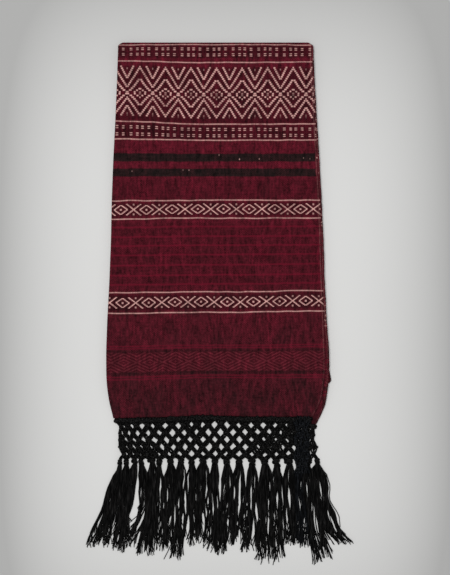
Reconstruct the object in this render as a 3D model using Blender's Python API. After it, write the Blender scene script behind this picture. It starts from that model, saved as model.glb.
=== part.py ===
"""A rebozo shawl, folded in half lengthwise, then crosswise, and laid flat.

+X runs across the folded cloth, from the lengthwise fold to the selvages. +Y runs up the cloth, from the
fringe to the top fold, and +Z is up. The origin is on the surface it lies on, under the middle of its box.
Sizes are in millimetres and are turned into metres where a mesh is made.
"""

import math
from collections import namedtuple

import bmesh
import bpy
import numpy as np

MM = 0.001

# The cloth and its folds
CLOTH = 1.2  # thickness of one layer
GAP = 0.3  # air between two layers, and at a seam
PAIR = 2 * CLOTH + GAP  # the front layer and the second layer together
STACK_HIGH = 10.0  # height of the whole folded stack
TOP_FOLD_Y = 310.2  # outermost line of the crosswise fold
FOLD_RADIUS = STACK_HIGH / 2
FOLD_AXIS_Y = TOP_FOLD_Y - FOLD_RADIUS
UNDER_REACH = 14.0  # how far the upper layers run on below, past the top fold
TURN_IN = 9.0  # how far the front layer runs on below, past the lengthwise fold
TURN_SEAM = 0.6  # between the turned-in edge and the second layer, which also clears round the top corner
CORNER_IN = 4.6  # how far the corners draw in round the top fold
HEM_Y = -139.4  # end of the cloth, at the black heading
HEM_HIGH = 4.7  # the front layer's upper side at its end
SLOPE_LOW_Y = -134.0
SLOPE_HIGH_Y = -92.0
RIPPLE = 0.55  # soft waves where the knots draw the end of the cloth in
RIPPLE_FROM_Y = -98.0
RIPPLE_FULL = 26.0
COLUMNS = 13  # points across a layer
SOFTEN = 7.0  # reach over which the outline's corners are rounded
TURNS = 7  # places round the top fold

# The lengths folded away below
INNER_END_Y = -102.4
INNER_PAIRS = 3  # folded pairs that show at the edges
INNER_LEFT_STEPS = (1.0, 2.6, 1.7)  # how far each pair's edge lies inside, from the floor up
INNER_RIGHT_STEPS = (1.6, 0.0, 1.1)
GROOVE = 1.5
FOLD_ROUND = 0.8
SELVAGE_ROUND = 0.4
INNER_CLOSING = 6.0  # over this length the folded end rounds off
INNER_CORNER = 3.5
INNER_LIFT = 1.2

# The knotted net
NET_ROWS_Y = (-142.5, -149.9, -158.8, -167.6, -176.2, -185.4, -191.2)
LAST_ROW = len(NET_ROWS_Y) - 1
CORD_STEPS = ((-1, 1), (-1, -1), (1, -1), (1, 1))  # a knot's cords, by row and by half column
HEADING_HIGH = 5.6  # the heading's height up the cloth
KNOT = 3.3  # from a knot's middle to where its cords start
CORD = 1.95  # half of a cord's width
CORD_SPREAD = 31.0  # half of the angle that a cord takes of a knot's rim
ROOMY_PITCH = 14.0  # columns this far apart have full knots
KNOT_TALL = 4.3  # the same as KNOT, but up and down the lower net, whose knots have four corners
LAST_KNOT = 0.75  # size of the last row's knots, where each pair of cords meets its tassel
CENTRE_COLUMN = 11
CENTRE_X = 6.2
FRONT_COLUMNS = 18
SECOND_COLUMNS = 19
LATE_COLUMN_ROWS = 3  # the outermost column at the fold comes out below this many rows
SECOND_NET_HIGH = 2.3
FRONT_NET_LOW = 2.6
FRONT_NET_HIGH = 4.8
KNOT_CROWN = 0.8

# The tassels
HEAD_TOP_Y = -194.7
HEAD_LOW_Y = -200.6
HEAD_WIDE = 6.4
HEAD_LOW_Z = 0.9
HEAD_HIGH_Z = 4.3
HeadRing = namedtuple("HeadRing", "down size rounding")
HEAD_RINGS = (
    HeadRing(down=0.0, size=0.55, rounding=0.30),
    HeadRing(down=0.4, size=1.08, rounding=0.35),
    HeadRing(down=1.0, size=0.95, rounding=0.0),
)
STRAND_PAIRS = 5
STRAND_STEPS = 4
STRAND_INSET = 0.14
STRAND_CLEAR = 0.72  # from a strand's middle to the edge of its tassel's lane
TASSEL_HALF = 6.6  # most that a tassel spreads to each side
LOWER_STRAND_Z = 1.05
UPPER_STRAND_Z = 2.3
LONGEST = 111.0
RAGGED = 0.10  # how much shorter than its tassel a strand may be
EDGE_SHORT = 0.05  # how much shorter the outer strands are
SETTLED = 0.5  # by this far along, a strand lies on the floor or on the one under it
THINNING = 0.25

Section = namedtuple("Section", "y fold selvage second inner")
SECTIONS = (
    Section(y=-139.4, fold=-129.8, selvage=113.5, second=118.8, inner=114.0),
    Section(y=-132.0, fold=-132.4, selvage=118.1, second=121.9, inner=116.0),
    Section(y=-120.0, fold=-135.4, selvage=121.3, second=126.0, inner=120.0),
    Section(y=-104.0, fold=-137.6, selvage=123.5, second=128.2, inner=132.6),
    Section(y=-94.0, fold=-138.3, selvage=124.3, second=129.2, inner=132.6),
    Section(y=-82.0, fold=-138.6, selvage=124.8, second=129.8, inner=129.0),
    Section(y=-60.0, fold=-138.6, selvage=125.0, second=129.6, inner=127.6),
    Section(y=-24.0, fold=-137.3, selvage=123.6, second=126.6, inner=124.6),
    Section(y=24.0, fold=-134.7, selvage=121.6, second=124.2, inner=122.4),
    Section(y=72.0, fold=-132.9, selvage=120.4, second=122.9, inner=121.0),
    Section(y=120.0, fold=-131.9, selvage=118.6, second=120.6, inner=118.8),
    Section(y=168.0, fold=-130.1, selvage=115.7, second=117.9, inner=116.2),
    Section(y=216.0, fold=-127.6, selvage=113.0, second=115.0, inner=113.2),
    Section(y=264.0, fold=-125.6, selvage=109.9, second=112.0, inner=110.2),
    Section(y=300.0, fold=-124.4, selvage=108.6, second=110.6, inner=108.8),
)

# How the columns of the net close up towards the fold: pitch, then where and how fast they tighten
NetRow = namedtuple("NetRow", "row pitch tight_after tightening")
NET_SPACING = (
    NetRow(row=0, pitch=14.7, tight_after=6.0, tightening=1.02),
    NetRow(row=3, pitch=14.5, tight_after=4.0, tightening=0.56),
    NetRow(row=6, pitch=14.2, tight_after=2.0, tightening=0.33),
)

# Where the lower net has slipped a little beside the front one
Slip = namedtuple("Slip", "column spread by from_row")
SLIPS = (
    Slip(column=16.8, spread=1.3, by=4.4, from_row=0),
    Slip(column=3.4, spread=1.6, by=-2.6, from_row=2),
)

Tassel = namedtuple("Tassel", "column tip_x length bow")
TASSELS = (
    Tassel(column=0, tip_x=-156.0, length=88.0, bow=0.85),
    Tassel(column=1, tip_x=-140.0, length=89.0, bow=0.95),
    Tassel(column=2, tip_x=-124.0, length=98.0, bow=1.1),
    Tassel(column=3, tip_x=-109.5, length=91.0, bow=1.2),
    Tassel(column=4, tip_x=-92.5, length=101.0, bow=1.3),
    Tassel(column=5, tip_x=-78.7, length=98.0, bow=1.3),
    Tassel(column=6, tip_x=-65.5, length=91.0, bow=1.3),
    Tassel(column=7, tip_x=-52.8, length=107.0, bow=1.3),
    Tassel(column=8, tip_x=-39.1, length=92.0, bow=1.3),
    Tassel(column=9, tip_x=-24.7, length=90.0, bow=1.3),
    Tassel(column=10, tip_x=-11.3, length=101.0, bow=1.3),
    Tassel(column=11, tip_x=2.2, length=100.0, bow=1.3),
    Tassel(column=12, tip_x=18.6, length=94.0, bow=1.3),
    Tassel(column=13, tip_x=35.0, length=99.0, bow=1.3),
    Tassel(column=14, tip_x=51.5, length=111.0, bow=1.3),
    Tassel(column=15, tip_x=67.7, length=106.0, bow=1.3),
    Tassel(column=16, tip_x=83.4, length=92.0, bow=1.3),
    Tassel(column=17, tip_x=99.2, length=93.0, bow=1.3),
    Tassel(column=18, tip_x=121.2, length=111.0, bow=1.5),
    Tassel(column=19, tip_x=155.8, length=87.0, bow=1.5),
)

MAROON = (0.080, 0.009, 0.014)
DARK_MAROON = (0.058, 0.008, 0.013)
BLACK = (0.0045, 0.0045, 0.0050)


def clear_scene():
    for item in list(bpy.data.objects):
        bpy.data.objects.remove(item, do_unlink=True)


def make_material(name, colour, roughness):
    material = bpy.data.materials.new(name)
    material.use_nodes = True
    shader = material.node_tree.nodes["Principled BSDF"]
    shader.inputs["Base Color"].default_value = (*colour, 1.0)
    shader.inputs["Roughness"].default_value = roughness
    shader.inputs["Metallic"].default_value = 0.0
    return material


def make_object(name, bm, material):
    """Turns a bmesh, in millimetres, into a named object in metres, with its faces pointing out."""
    bmesh.ops.scale(bm, vec=(MM, MM, MM), verts=bm.verts)
    bmesh.ops.recalc_face_normals(bm, faces=bm.faces)
    mesh = bpy.data.meshes.new(name)
    bm.to_mesh(mesh)
    bm.free()
    mesh.materials.append(material)
    made = bpy.data.objects.new(name, mesh)
    bpy.context.scene.collection.objects.link(made)
    return made


def grow_face(bm, face, points):
    """Extrudes a face, and moves the new one's corners to the points."""
    face = bmesh.ops.extrude_discrete_faces(bm, faces=[face])["faces"][0]
    for corner, point in zip(face.verts, points, strict=True):
        corner.co = point
    return face


def loft(name, rings, material):
    """A closed solid through rings of points, with flat ends."""
    bm = bmesh.new()
    made = [[bm.verts.new(point) for point in ring] for ring in rings]
    bm.faces.new(made[0])
    bm.faces.new(made[-1])
    for ring, after in zip(made, made[1:], strict=False):
        for step in range(len(ring)):
            onward = (step + 1) % len(ring)
            bm.faces.new([ring[step], ring[onward], after[onward], after[step]])
    return make_object(name, bm, material)


def smoothstep(value):
    t = min(max(value, 0.0), 1.0)
    return t * t * (3.0 - 2.0 * t)


def section_at(y, column):
    """A column of SECTIONS at a height up the cloth, read along a curve rather than a broken line."""
    ys = [section.y for section in SECTIONS]
    values = [getattr(section, column) for section in SECTIONS]
    low, here, high = (float(np.interp(y + step, ys, values)) for step in (-SOFTEN, 0.0, SOFTEN))
    return (low + 2.0 * here + high) / 4.0


def ripple(x, y):
    """Soft waves across the end of the cloth."""
    fade = smoothstep((RIPPLE_FROM_Y - y) / RIPPLE_FULL)
    wave = 0.6 * math.sin(math.tau * x / 61.0 + 0.9) + 0.4 * math.sin(math.tau * x / 39.0 + 2.1)
    return RIPPLE * fade * wave


def upper_side(y):
    """Height of the front layer's upper side, which lies on the stack and then runs down to the fringe."""
    rise = smoothstep((y - SLOPE_LOW_Y) / (SLOPE_HIGH_Y - SLOPE_LOW_Y))
    return HEM_HIGH + (STACK_HIGH - HEM_HIGH) * rise


Station = namedtuple("Station", "y z inward_y inward_z section_y corner")


def stations():
    """Places along the upper layers, from the heading, over the stack, round the top fold and under it."""
    flat = [HEM_Y, -133.0, -127.0, -120.0, -112.0, -104.0, -96.0, -88.0]
    flat += list(np.linspace(-60.0, 288.0, 10))
    made = [Station(y, upper_side(y), 0.0, -1.0, y, 0.0) for y in flat]
    for step in range(TURNS):
        angle = math.pi * step / (TURNS - 1)
        out_y, out_z = math.sin(angle), math.cos(angle)
        y = FOLD_AXIS_Y + FOLD_RADIUS * out_y
        z = FOLD_RADIUS * (1.0 + out_z)
        made.append(Station(y, z, -out_y, -out_z, FOLD_AXIS_Y, CORNER_IN * out_y**2))
    made.append(Station(FOLD_AXIS_Y - UNDER_REACH, 0.0, 0.0, 1.0, FOLD_AXIS_Y, 0.0))
    return made


def place(station, x, depth, columns):
    """A point at a depth under the upper side of the front layer, at a station."""
    lifts = [ripple(column, station.section_y) for column in columns]
    lifted = depth - float(np.interp(x, columns[::-1], lifts[::-1]))
    y = station.y + station.inward_y * lifted
    return (x, y, station.z + station.inward_z * lifted)


def across(station):
    """Points across the front layer, from its selvage to where the lengthwise fold begins."""
    fold = section_at(station.section_y, "fold") + station.corner
    selvage = section_at(station.section_y, "selvage") - station.corner
    return fold, [*np.linspace(selvage, fold + TURN_IN + TURN_SEAM, COLUMNS - 1), fold + PAIR / 2]


def front_ring(station):
    """Outline of the front layer's wall: over the top, round the lengthwise fold, and back inside."""
    fold, columns = across(station)
    middle_x, middle = fold + PAIR / 2, PAIR / 2
    outer = [(x, 0.0) for x in columns]
    for step in range(1, 5):
        turn = math.pi * step / 4
        outer.append((middle_x - middle * math.sin(turn), middle - middle * math.cos(turn)))
    outer.append((fold + TURN_IN, PAIR))
    inside = middle - CLOTH
    inner = [(fold + TURN_IN, PAIR - CLOTH), (middle_x, PAIR - CLOTH), (middle_x - inside, middle)]
    inner += [(x, CLOTH) for x in reversed(columns)]
    return [place(station, x, depth, columns) for x, depth in outer + inner]


def second_ring(station):
    """Outline of the second layer's wall, from the front layer's turned-in edge to its own selvage."""
    _, columns = across(station)
    own = section_at(station.section_y, "second") - station.corner
    run = [own, *columns[:-1]]
    top, bottom = PAIR - CLOTH, PAIR
    ring = [(x, top) for x in run] + [(x, bottom) for x in reversed(run)]
    return [place(station, x, depth, columns) for x, depth in ring]


def inner_ring(y, low, high, draw_in):
    """Outline of the lengths folded away, with a groove between each two folded pairs."""
    left = section_at(y, "fold") + draw_in
    right = section_at(y, "inner") - draw_in
    pair = (high - low) / INNER_PAIRS
    lefts, rights = [], []
    for index in range(INNER_PAIRS):
        floor = low + pair * index
        near = left + INNER_LEFT_STEPS[index]
        far = right - INNER_RIGHT_STEPS[index]
        for share in (0.1, 0.5, 0.9):
            off_middle = (share - 0.5) / 0.4
            lefts.append((near + FOLD_ROUND * off_middle**2, floor + share * pair))
            rights.append((far - SELVAGE_ROUND * off_middle**2, floor + share * pair))
        if index < INNER_PAIRS - 1:
            lefts.append((near + GROOVE, floor + pair))
            rights.append((far - GROOVE, floor + pair))
    lefts[0] = (lefts[0][0], low)
    rights[0] = (rights[0][0], low)
    return [(x, y, z) for x, z in rights + lefts[::-1]]


def inner_rings():
    """Rings up the folded lengths, from their rounded lower end to where the upper layers turn round them."""
    clear = PAIR + GAP
    step_y = FOLD_AXIS_Y - UNDER_REACH - GAP
    end = [INNER_END_Y + up for up in (0.0, 1.4, 5.4, 10.4, 20.4, 32.4)]
    rings = []
    for y in [*end, *np.linspace(-40.0, 250.0, 7)]:
        closing = smoothstep((INNER_END_Y + INNER_CLOSING - y) / INNER_CLOSING)
        low = INNER_LIFT if y == INNER_END_Y else 0.0
        high = upper_side(y) - clear - (RIPPLE + INNER_LIFT) * closing
        rings.append(inner_ring(y, low, high, INNER_CORNER * closing**2))
    high = STACK_HIGH - clear
    rings.append(inner_ring(step_y - 0.9, 0.0, high, 0.0))
    rings.append(inner_ring(step_y, clear, high, 0.0))
    rings.append(inner_ring(FOLD_AXIS_Y, clear, high, CORNER_IN / 3))
    rings.append(inner_ring(FOLD_AXIS_Y + 1.5, clear + 0.8, high - 0.8, CORNER_IN / 2))
    return rings


def make_cloth():
    places = stations()
    maroon = make_material("maroon_cotton", MAROON, 0.9)
    second = make_material("maroon_cotton_second", DARK_MAROON, 0.9)
    inner = make_material("maroon_cotton_inner", DARK_MAROON, 0.9)
    loft("front_layer", [front_ring(station) for station in places], maroon)
    loft("second_layer", [second_ring(station) for station in places], second)
    loft("inner_layers", inner_rings(), inner)


def net_place(column, row, slipped):
    """Middle of a knot. Columns are evenly spaced but for those that turn under at the fold."""
    rows = [entry.row for entry in NET_SPACING]
    pitch, after, tight = (
        float(np.interp(row, rows, [getattr(entry, field) for entry in NET_SPACING]))
        for field in ("pitch", "tight_after", "tightening")
    )
    left = max(0.0, CENTRE_COLUMN - column - after)
    x = CENTRE_X + pitch * (column - CENTRE_COLUMN) + tight * left**2
    if slipped:
        for slip in SLIPS:
            near = math.exp(-(((column - slip.column) / slip.spread) ** 2))
            x += slip.by * near * smoothstep((row - slip.from_row) / (LAST_ROW - slip.from_row))
    return x, NET_ROWS_Y[row]


def knot_places(columns, slipped):
    """Knots by (row, twice the column): whole columns on even rows, half columns on odd ones."""
    found = {}
    for row in range(len(NET_ROWS_Y)):
        first = 1 if row < LATE_COLUMN_ROWS else 0
        for twice in range(2 * first, 2 * columns + 1):
            if twice % 2 == row % 2:
                found[row, twice] = net_place(twice / 2, row, slipped)
    return found


def knot_size(row, twice, slipped):
    """1 for a knot with room round it, and less where the columns close up or a pair of cords ends."""
    pitch = net_place(twice / 2 + 0.5, row, slipped)[0] - net_place(twice / 2 - 0.5, row, slipped)[0]
    return min(LAST_KNOT if row == LAST_ROW else 1.0, pitch / ROOMY_PITCH)


def round_rim(row, twice, at, slipped):
    """Eight corners of a round knot, two for each cord, by the cord's steps in row and half columns."""
    size = knot_size(row, twice, slipped)
    rim = {}
    for row_step, side in CORD_STEPS:
        if row + row_step > LAST_ROW:
            towards = (at[0] + side, at[1] - 1.0)
        else:
            towards = net_place((twice + side) / 2, row + row_step, slipped)
        angle = math.atan2(towards[1] - at[1], towards[0] - at[0])
        room = 90.0 - abs(math.degrees(math.asin(math.sin(angle))))
        half = math.radians(min(CORD_SPREAD, 0.8 * room))
        radius = KNOT * size / math.cos(half)
        rim[row_step, side] = [
            (at[0] + radius * math.cos(angle + turn), at[1] + radius * math.sin(angle + turn))
            for turn in (-half, half)
        ]
    return rim


def square_rim(row, twice, at, slipped):
    """Four corners of a plain knot, each shared by two cords, in the same form."""
    size = knot_size(row, twice, slipped)
    wide = KNOT * size
    tall = KNOT if row == LAST_ROW else KNOT_TALL * min(1.0, size + 0.2)
    east, north = (at[0] + wide, at[1]), (at[0], at[1] + tall)
    west, south = (at[0] - wide, at[1]), (at[0], at[1] - tall)
    return {(-1, 1): [east, north], (-1, -1): [north, west], (1, -1): [west, south], (1, 1): [south, east]}


def heading_foot(twice, x, slipped):
    """Outline of one knot of the heading, from its upper left corner down, along and up again."""
    size = knot_size(0, twice, slipped)
    top = HEM_Y - GAP
    foot = top - HEADING_HIGH
    wide = 2.0 * CORD * size + 0.4
    uneven = 0.3 * math.sin(2.1 * twice)
    return [
        (x - wide, top - 0.9),
        (x - wide, foot + 0.6),
        (x, foot - 0.8),
        (x + wide, foot + 0.6),
        (x + wide, top - 0.9),
        (x, top - 0.3 + uneven),
    ]


def make_net(name, columns, low, high, crown, rim_of, slipped, material):
    """A net of knots and cords, with each mesh open, hung from a heading of knots side by side."""
    places = knot_places(columns, slipped)
    bm = bmesh.new()
    made = {}

    def corner(point):
        key = (round(point[0], 3), round(point[1], 3))
        if key not in made:
            made[key] = bm.verts.new((*point, low))
        return made[key]

    rims, feet = {}, {}
    for (row, twice), at in places.items():
        if row == 0:
            feet[twice] = [corner(point) for point in heading_foot(twice, at[0], slipped)]
            bm.faces.new(feet[twice])
            continue
        rim = rim_of(row, twice, at, slipped)
        rims[row, twice] = {step: [corner(point) for point in ends] for step, ends in rim.items()}
        ring = [end for step in CORD_STEPS for end in rims[row, twice][step]]
        bm.faces.new(list(dict.fromkeys(ring)))

    # The heading's knots stand side by side, and each has two cords under it.
    for left, right in zip(sorted(feet), sorted(feet)[1:], strict=False):
        bm.faces.new([feet[left][4], feet[left][3], feet[right][1], feet[right][0]])
    for twice, foot in feet.items():
        rims[0, twice] = {(1, -1): [foot[1], foot[2]], (1, 1): [foot[2], foot[3]]}

    # A cord runs from each knot to the two below it.
    for (row, twice), rim in rims.items():
        for side in (-1, 1):
            below = rims.get((row + 1, twice + side))
            if below:
                bm.faces.new([*rim[1, side], *below[-1, -side]])

    # The flat pattern is raised into a solid, and each knot gets its crown.
    grown = bmesh.ops.extrude_face_region(bm, geom=list(bm.faces))["geom"]
    for item in grown:
        if isinstance(item, bmesh.types.BMVert):
            item.co.z = high
    knots = [item for item in grown if isinstance(item, bmesh.types.BMFace) and len(item.verts) > 4]
    if crown:
        for middle in bmesh.ops.poke(bm, faces=knots)["verts"]:
            middle.co.z = high + crown
    return make_object(name, bm, material)


def centre_line(tassel, y):
    """Middle of a tassel at a height down the fringe."""
    start = net_place(tassel.column, LAST_ROW, tassel.column > FRONT_COLUMNS)[0]
    down = (HEAD_LOW_Y - y) / LONGEST
    whole = tassel.length / LONGEST
    return start + (tassel.tip_x - start) * (max(down, 0.0) / whole) ** tassel.bow


def half_width(index, y):
    """How far a tassel's strands spread to each side, kept inside its own lane."""
    own = centre_line(TASSELS[index], y)
    down = (HEAD_LOW_Y - y) / LONGEST
    wanted = HEAD_WIDE / 2 - 0.4 + (TASSEL_HALF - HEAD_WIDE / 2) * smoothstep(down / 0.5)
    for near in (index - 1, index + 1):
        if 0 <= near < len(TASSELS):
            room = abs(centre_line(TASSELS[near], y) - own) / 2 - STRAND_CLEAR
            wanted = min(wanted, room)
    return wanted


def head_ring(x, y, size, rounding):
    """Twelve points round a tassel's knot: a lower row, then an upper row half a step along and back."""
    pitch = HEAD_WIDE / (STRAND_PAIRS + 0.5)
    low = [(x + size * (-HEAD_WIDE / 2 + pitch * step), HEAD_LOW_Z) for step in range(STRAND_PAIRS + 1)]
    high = [(px + size * pitch / 2, HEAD_HIGH_Z) for px, _ in low]
    middle = (HEAD_LOW_Z + HEAD_HIGH_Z) / 2
    ring = []
    for px, pz in low + high[::-1]:
        flatter = 1.0 - rounding * ((px - x) / HEAD_WIDE * 2) ** 2
        ring.append((px, y, middle + (pz - middle) * flatter * size))
    return ring


def make_tassel(index, material):
    """A knot with its yarns, which start as triangles in its lower end and fan out over the floor."""
    tassel = TASSELS[index]
    x = net_place(tassel.column, LAST_ROW, tassel.column > FRONT_COLUMNS)[0]
    spare = np.random.default_rng(40 + index)
    fit = min(1.0, (half_width(index, HEAD_LOW_Y) + 0.5) / (HEAD_WIDE / 2))
    bm = bmesh.new()
    high = HEAD_TOP_Y - HEAD_LOW_Y
    rings = [head_ring(x, HEAD_TOP_Y - ring.down * high, ring.size * fit, ring.rounding) for ring in HEAD_RINGS]
    made = [[bm.verts.new(point) for point in ring] for ring in rings]
    bm.faces.new(made[0])
    for upper, lower in zip(made, made[1:], strict=False):
        for step in range(len(upper)):
            after = (step + 1) % len(upper)
            bm.faces.new([upper[step], upper[after], lower[after], lower[step]])
    lows, highs = made[-1][: STRAND_PAIRS + 1], made[-1][STRAND_PAIRS + 1 :][::-1]
    roots = []
    for step in range(STRAND_PAIRS):
        roots.append(bm.faces.new([lows[step], lows[step + 1], highs[step]]))
        roots.append(bm.faces.new([highs[step], lows[step + 1], highs[step + 1]]))
    bmesh.ops.inset_individual(bm, faces=roots, thickness=STRAND_INSET)
    for number, root in enumerate(roots):
        lower = number % 2 == 0
        place_across = 2.0 * (number + 0.5) / len(roots) - 1.0
        reach = tassel.length * (1.0 - spare.uniform(0.0, RAGGED) - EDGE_SHORT * place_across**2)
        start = root.calc_center_median()
        offsets = [corner.co - start for corner in root.verts]
        face = root
        for step in range(1, STRAND_STEPS + 1):
            along = step / STRAND_STEPS
            y = HEAD_LOW_Y - reach * along
            px = centre_line(tassel, y) + place_across * half_width(index, y)
            settle = smoothstep(along / SETTLED)
            resting = LOWER_STRAND_Z if lower else UPPER_STRAND_Z
            pz = start.z + (resting - start.z) * settle
            thin = 1.0 - THINNING * along
            if step == STRAND_STEPS:
                face = grow_face(bm, face, [(px, y, pz)] * 3)
                bmesh.ops.pointmerge(bm, verts=list(face.verts), merge_co=(px, y, pz))
            else:
                face = grow_face(bm, face, [(px + off.x * thin, y, pz + off.z * thin) for off in offsets])
    return make_object(f"tassel_{index + 1:02d}", bm, material)


def make_fringe():
    front = make_material("black_cotton_net", BLACK, 0.8)
    second = make_material("black_cotton_net_second", BLACK, 0.8)
    yarn = make_material("black_cotton_tassel", BLACK, 0.75)
    make_net(
        "net_front", FRONT_COLUMNS, FRONT_NET_LOW, FRONT_NET_HIGH, KNOT_CROWN, round_rim, False, front
    )
    make_net("net_second", SECOND_COLUMNS, 0.0, SECOND_NET_HIGH, 0.0, square_rim, True, second)
    for index in range(len(TASSELS)):
        make_tassel(index, yarn)


def main():
    clear_scene()
    make_cloth()
    make_fringe()


main()
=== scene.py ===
"""A rebozo shawl, folded in half lengthwise, then crosswise, and laid flat on a pale floor.

+X runs across the folded cloth, from the lengthwise fold to the selvages. +Y runs up the cloth, from the
fringe to the top fold, and +Z is up. Places are in millimetres, and are turned into metres where a mesh is
made. Settings that a user would change are in metres.
"""

import math
from collections import namedtuple

import bmesh
import bpy
import numpy as np
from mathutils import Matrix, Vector, noise


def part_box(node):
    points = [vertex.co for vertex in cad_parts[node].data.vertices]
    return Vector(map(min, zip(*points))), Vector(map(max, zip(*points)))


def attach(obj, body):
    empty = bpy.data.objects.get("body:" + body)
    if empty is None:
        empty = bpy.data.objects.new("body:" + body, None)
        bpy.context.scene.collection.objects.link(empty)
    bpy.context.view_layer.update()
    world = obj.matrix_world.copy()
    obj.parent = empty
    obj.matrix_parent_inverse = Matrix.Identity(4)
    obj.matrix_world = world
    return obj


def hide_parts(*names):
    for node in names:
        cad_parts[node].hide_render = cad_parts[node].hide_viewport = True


bl_info = {
    "name": "Rebozo shawl",
    "version": (1, 0, 0),
    "blender": (4, 5, 0),
    "location": "View3D > Sidebar > Rebozo",
    "description": "Makes a folded rebozo shawl with its knotted fringe",
    "category": "Add Mesh",
}

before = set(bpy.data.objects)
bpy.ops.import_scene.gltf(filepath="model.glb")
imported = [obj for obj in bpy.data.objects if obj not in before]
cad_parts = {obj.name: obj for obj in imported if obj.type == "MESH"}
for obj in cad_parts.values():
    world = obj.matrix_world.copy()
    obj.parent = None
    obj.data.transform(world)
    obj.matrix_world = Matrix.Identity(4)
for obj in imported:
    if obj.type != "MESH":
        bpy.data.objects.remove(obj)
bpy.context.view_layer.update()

MM = 0.001

# The folded cloth, as in the frame
CLOTH = 1.2  # thickness of one layer
GAP = 0.3  # air between two layers
PAIR = 2 * CLOTH + GAP
STACK_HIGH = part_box("front_layer")[1].z / MM
TOP_FOLD_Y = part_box("front_layer")[1].y / MM
FOLD_RADIUS = STACK_HIGH / 2
FOLD_AXIS_Y = TOP_FOLD_Y - FOLD_RADIUS
UNDER_REACH = 14.0
TURN_IN = 9.0
TURN_SEAM = 0.6
CORNER_IN = 4.6
HEM_Y = -139.4
HEM_HIGH = 4.7
DROP_FROM_X = 100.0
DROP_FULL_X = 110.0
SECOND_DROP = 9.0  # how much lower the second half ends at its selvage
Hem = namedtuple("Hem", "x lower")
HEMS = (
    Hem(x=-130.0, lower=2.2),
    Hem(x=-74.0, lower=1.0),
    Hem(x=-44.0, lower=-0.4),
    Hem(x=-17.0, lower=-1.4),
    Hem(x=8.0, lower=-0.6),
    Hem(x=30.0, lower=0.3),
    Hem(x=100.0, lower=0.6),
)
SLOPE_LOW_Y = -134.0
SLOPE_HIGH_Y = -92.0
RIPPLE = 0.55
RIPPLE_FROM_Y = -98.0
RIPPLE_FULL = 26.0
GRID_STEP = 2.7  # side of a cell of the cloth's mesh
ROUND_STEPS = 8  # cells round a fold

SOFTEN = 7.0

Section = namedtuple("Section", "y fold selvage second inner")
SECTIONS = (
    Section(y=-139.4, fold=-129.8, selvage=109.0, second=113.0, inner=114.0),
    Section(y=-132.0, fold=-132.4, selvage=115.0, second=118.6, inner=116.0),
    Section(y=-120.0, fold=-135.4, selvage=120.7, second=125.5, inner=120.0),
    Section(y=-104.0, fold=-137.6, selvage=123.5, second=128.2, inner=132.6),
    Section(y=-94.0, fold=-138.3, selvage=124.3, second=129.2, inner=132.6),
    Section(y=-82.0, fold=-138.6, selvage=124.8, second=129.8, inner=129.0),
    Section(y=-60.0, fold=-138.6, selvage=125.0, second=129.6, inner=127.6),
    Section(y=-24.0, fold=-137.3, selvage=123.6, second=126.6, inner=124.6),
    Section(y=24.0, fold=-134.7, selvage=121.6, second=124.2, inner=122.4),
    Section(y=72.0, fold=-132.9, selvage=120.4, second=122.9, inner=121.0),
    Section(y=120.0, fold=-131.9, selvage=118.6, second=120.6, inner=118.8),
    Section(y=168.0, fold=-130.1, selvage=115.7, second=117.9, inner=116.2),
    Section(y=216.0, fold=-127.6, selvage=113.0, second=115.0, inner=113.2),
    Section(y=264.0, fold=-125.6, selvage=109.9, second=112.0, inner=110.2),
    Section(y=300.0, fold=-124.4, selvage=108.6, second=110.6, inner=108.8),
)

# The lengths folded away below
INNER_PAIRS = 3
INNER_LEFT_STEPS = (1.0, 2.6, 1.7)
INNER_RIGHT_STEPS = (1.6, 0.0, 1.1)
INNER_CLOTH = 0.95
INNER_END_Y = -102.4
INNER_CLOSING = 8.0
INNER_CORNER = 5.0
INNER_STEP = 5.0

# Creases in the upper layers: the middle, its lean, how far it runs up and down, its width and its depth
Crease = namedtuple("Crease", "x y lean length width depth")
CREASES = (
    Crease(x=-98.0, y=-112.0, lean=0.10, length=52.0, width=13.0, depth=0.45),
    Crease(x=-62.0, y=-122.0, lean=-0.05, length=36.0, width=12.0, depth=-0.30),
    Crease(x=-2.0, y=-118.0, lean=0.04, length=44.0, width=11.0, depth=0.42),
    Crease(x=34.0, y=-124.0, lean=-0.08, length=34.0, width=13.0, depth=-0.30),
    Crease(x=94.0, y=-108.0, lean=-0.12, length=56.0, width=11.0, depth=0.48),
    Crease(x=-104.0, y=40.0, lean=0.03, length=120.0, width=17.0, depth=0.22),
    Crease(x=58.0, y=-30.0, lean=-0.04, length=110.0, width=20.0, depth=0.20),
    Crease(x=-20.0, y=150.0, lean=0.05, length=90.0, width=22.0, depth=0.16),
    Crease(x=98.0, y=170.0, lean=-0.02, length=120.0, width=14.0, depth=0.20),
)

# How the weft runs: how much higher its left and right ends lie than its middle
Weft = namedtuple("Weft", "y left right")
WEFTS = (
    Weft(y=-140.0, left=-2.0, right=0.6),
    Weft(y=-92.0, left=-2.6, right=0.2),
    Weft(y=-72.0, left=-2.4, right=0.6),
    Weft(y=-52.0, left=-1.4, right=1.0),
    Weft(y=-14.0, left=-1.4, right=1.6),
    Weft(y=10.0, left=-1.1, right=1.5),
    Weft(y=99.0, left=-1.1, right=0.1),
    Weft(y=120.0, left=-0.8, right=0.0),
    Weft(y=165.0, left=0.2, right=0.2),
    Weft(y=192.0, left=1.2, right=0.2),
    Weft(y=212.0, left=3.6, right=0.2),
    Weft(y=247.0, left=2.6, right=0.7),
    Weft(y=286.0, left=1.9, right=0.7),
    Weft(y=307.0, left=-0.4, right=-0.6),
)
WEFT_LEFT = (-125.0, -20.0)
WEFT_RIGHT = (20.0, 112.0)
WEFT_WOBBLE = 0.65
WEFT_WOBBLE_SCALE = 15.0

# Each sheet's two sets of coordinates: its place in the weave, and how far it is from the selvage
THREADS = "UVMap"
EDGE = "Edge"

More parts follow.
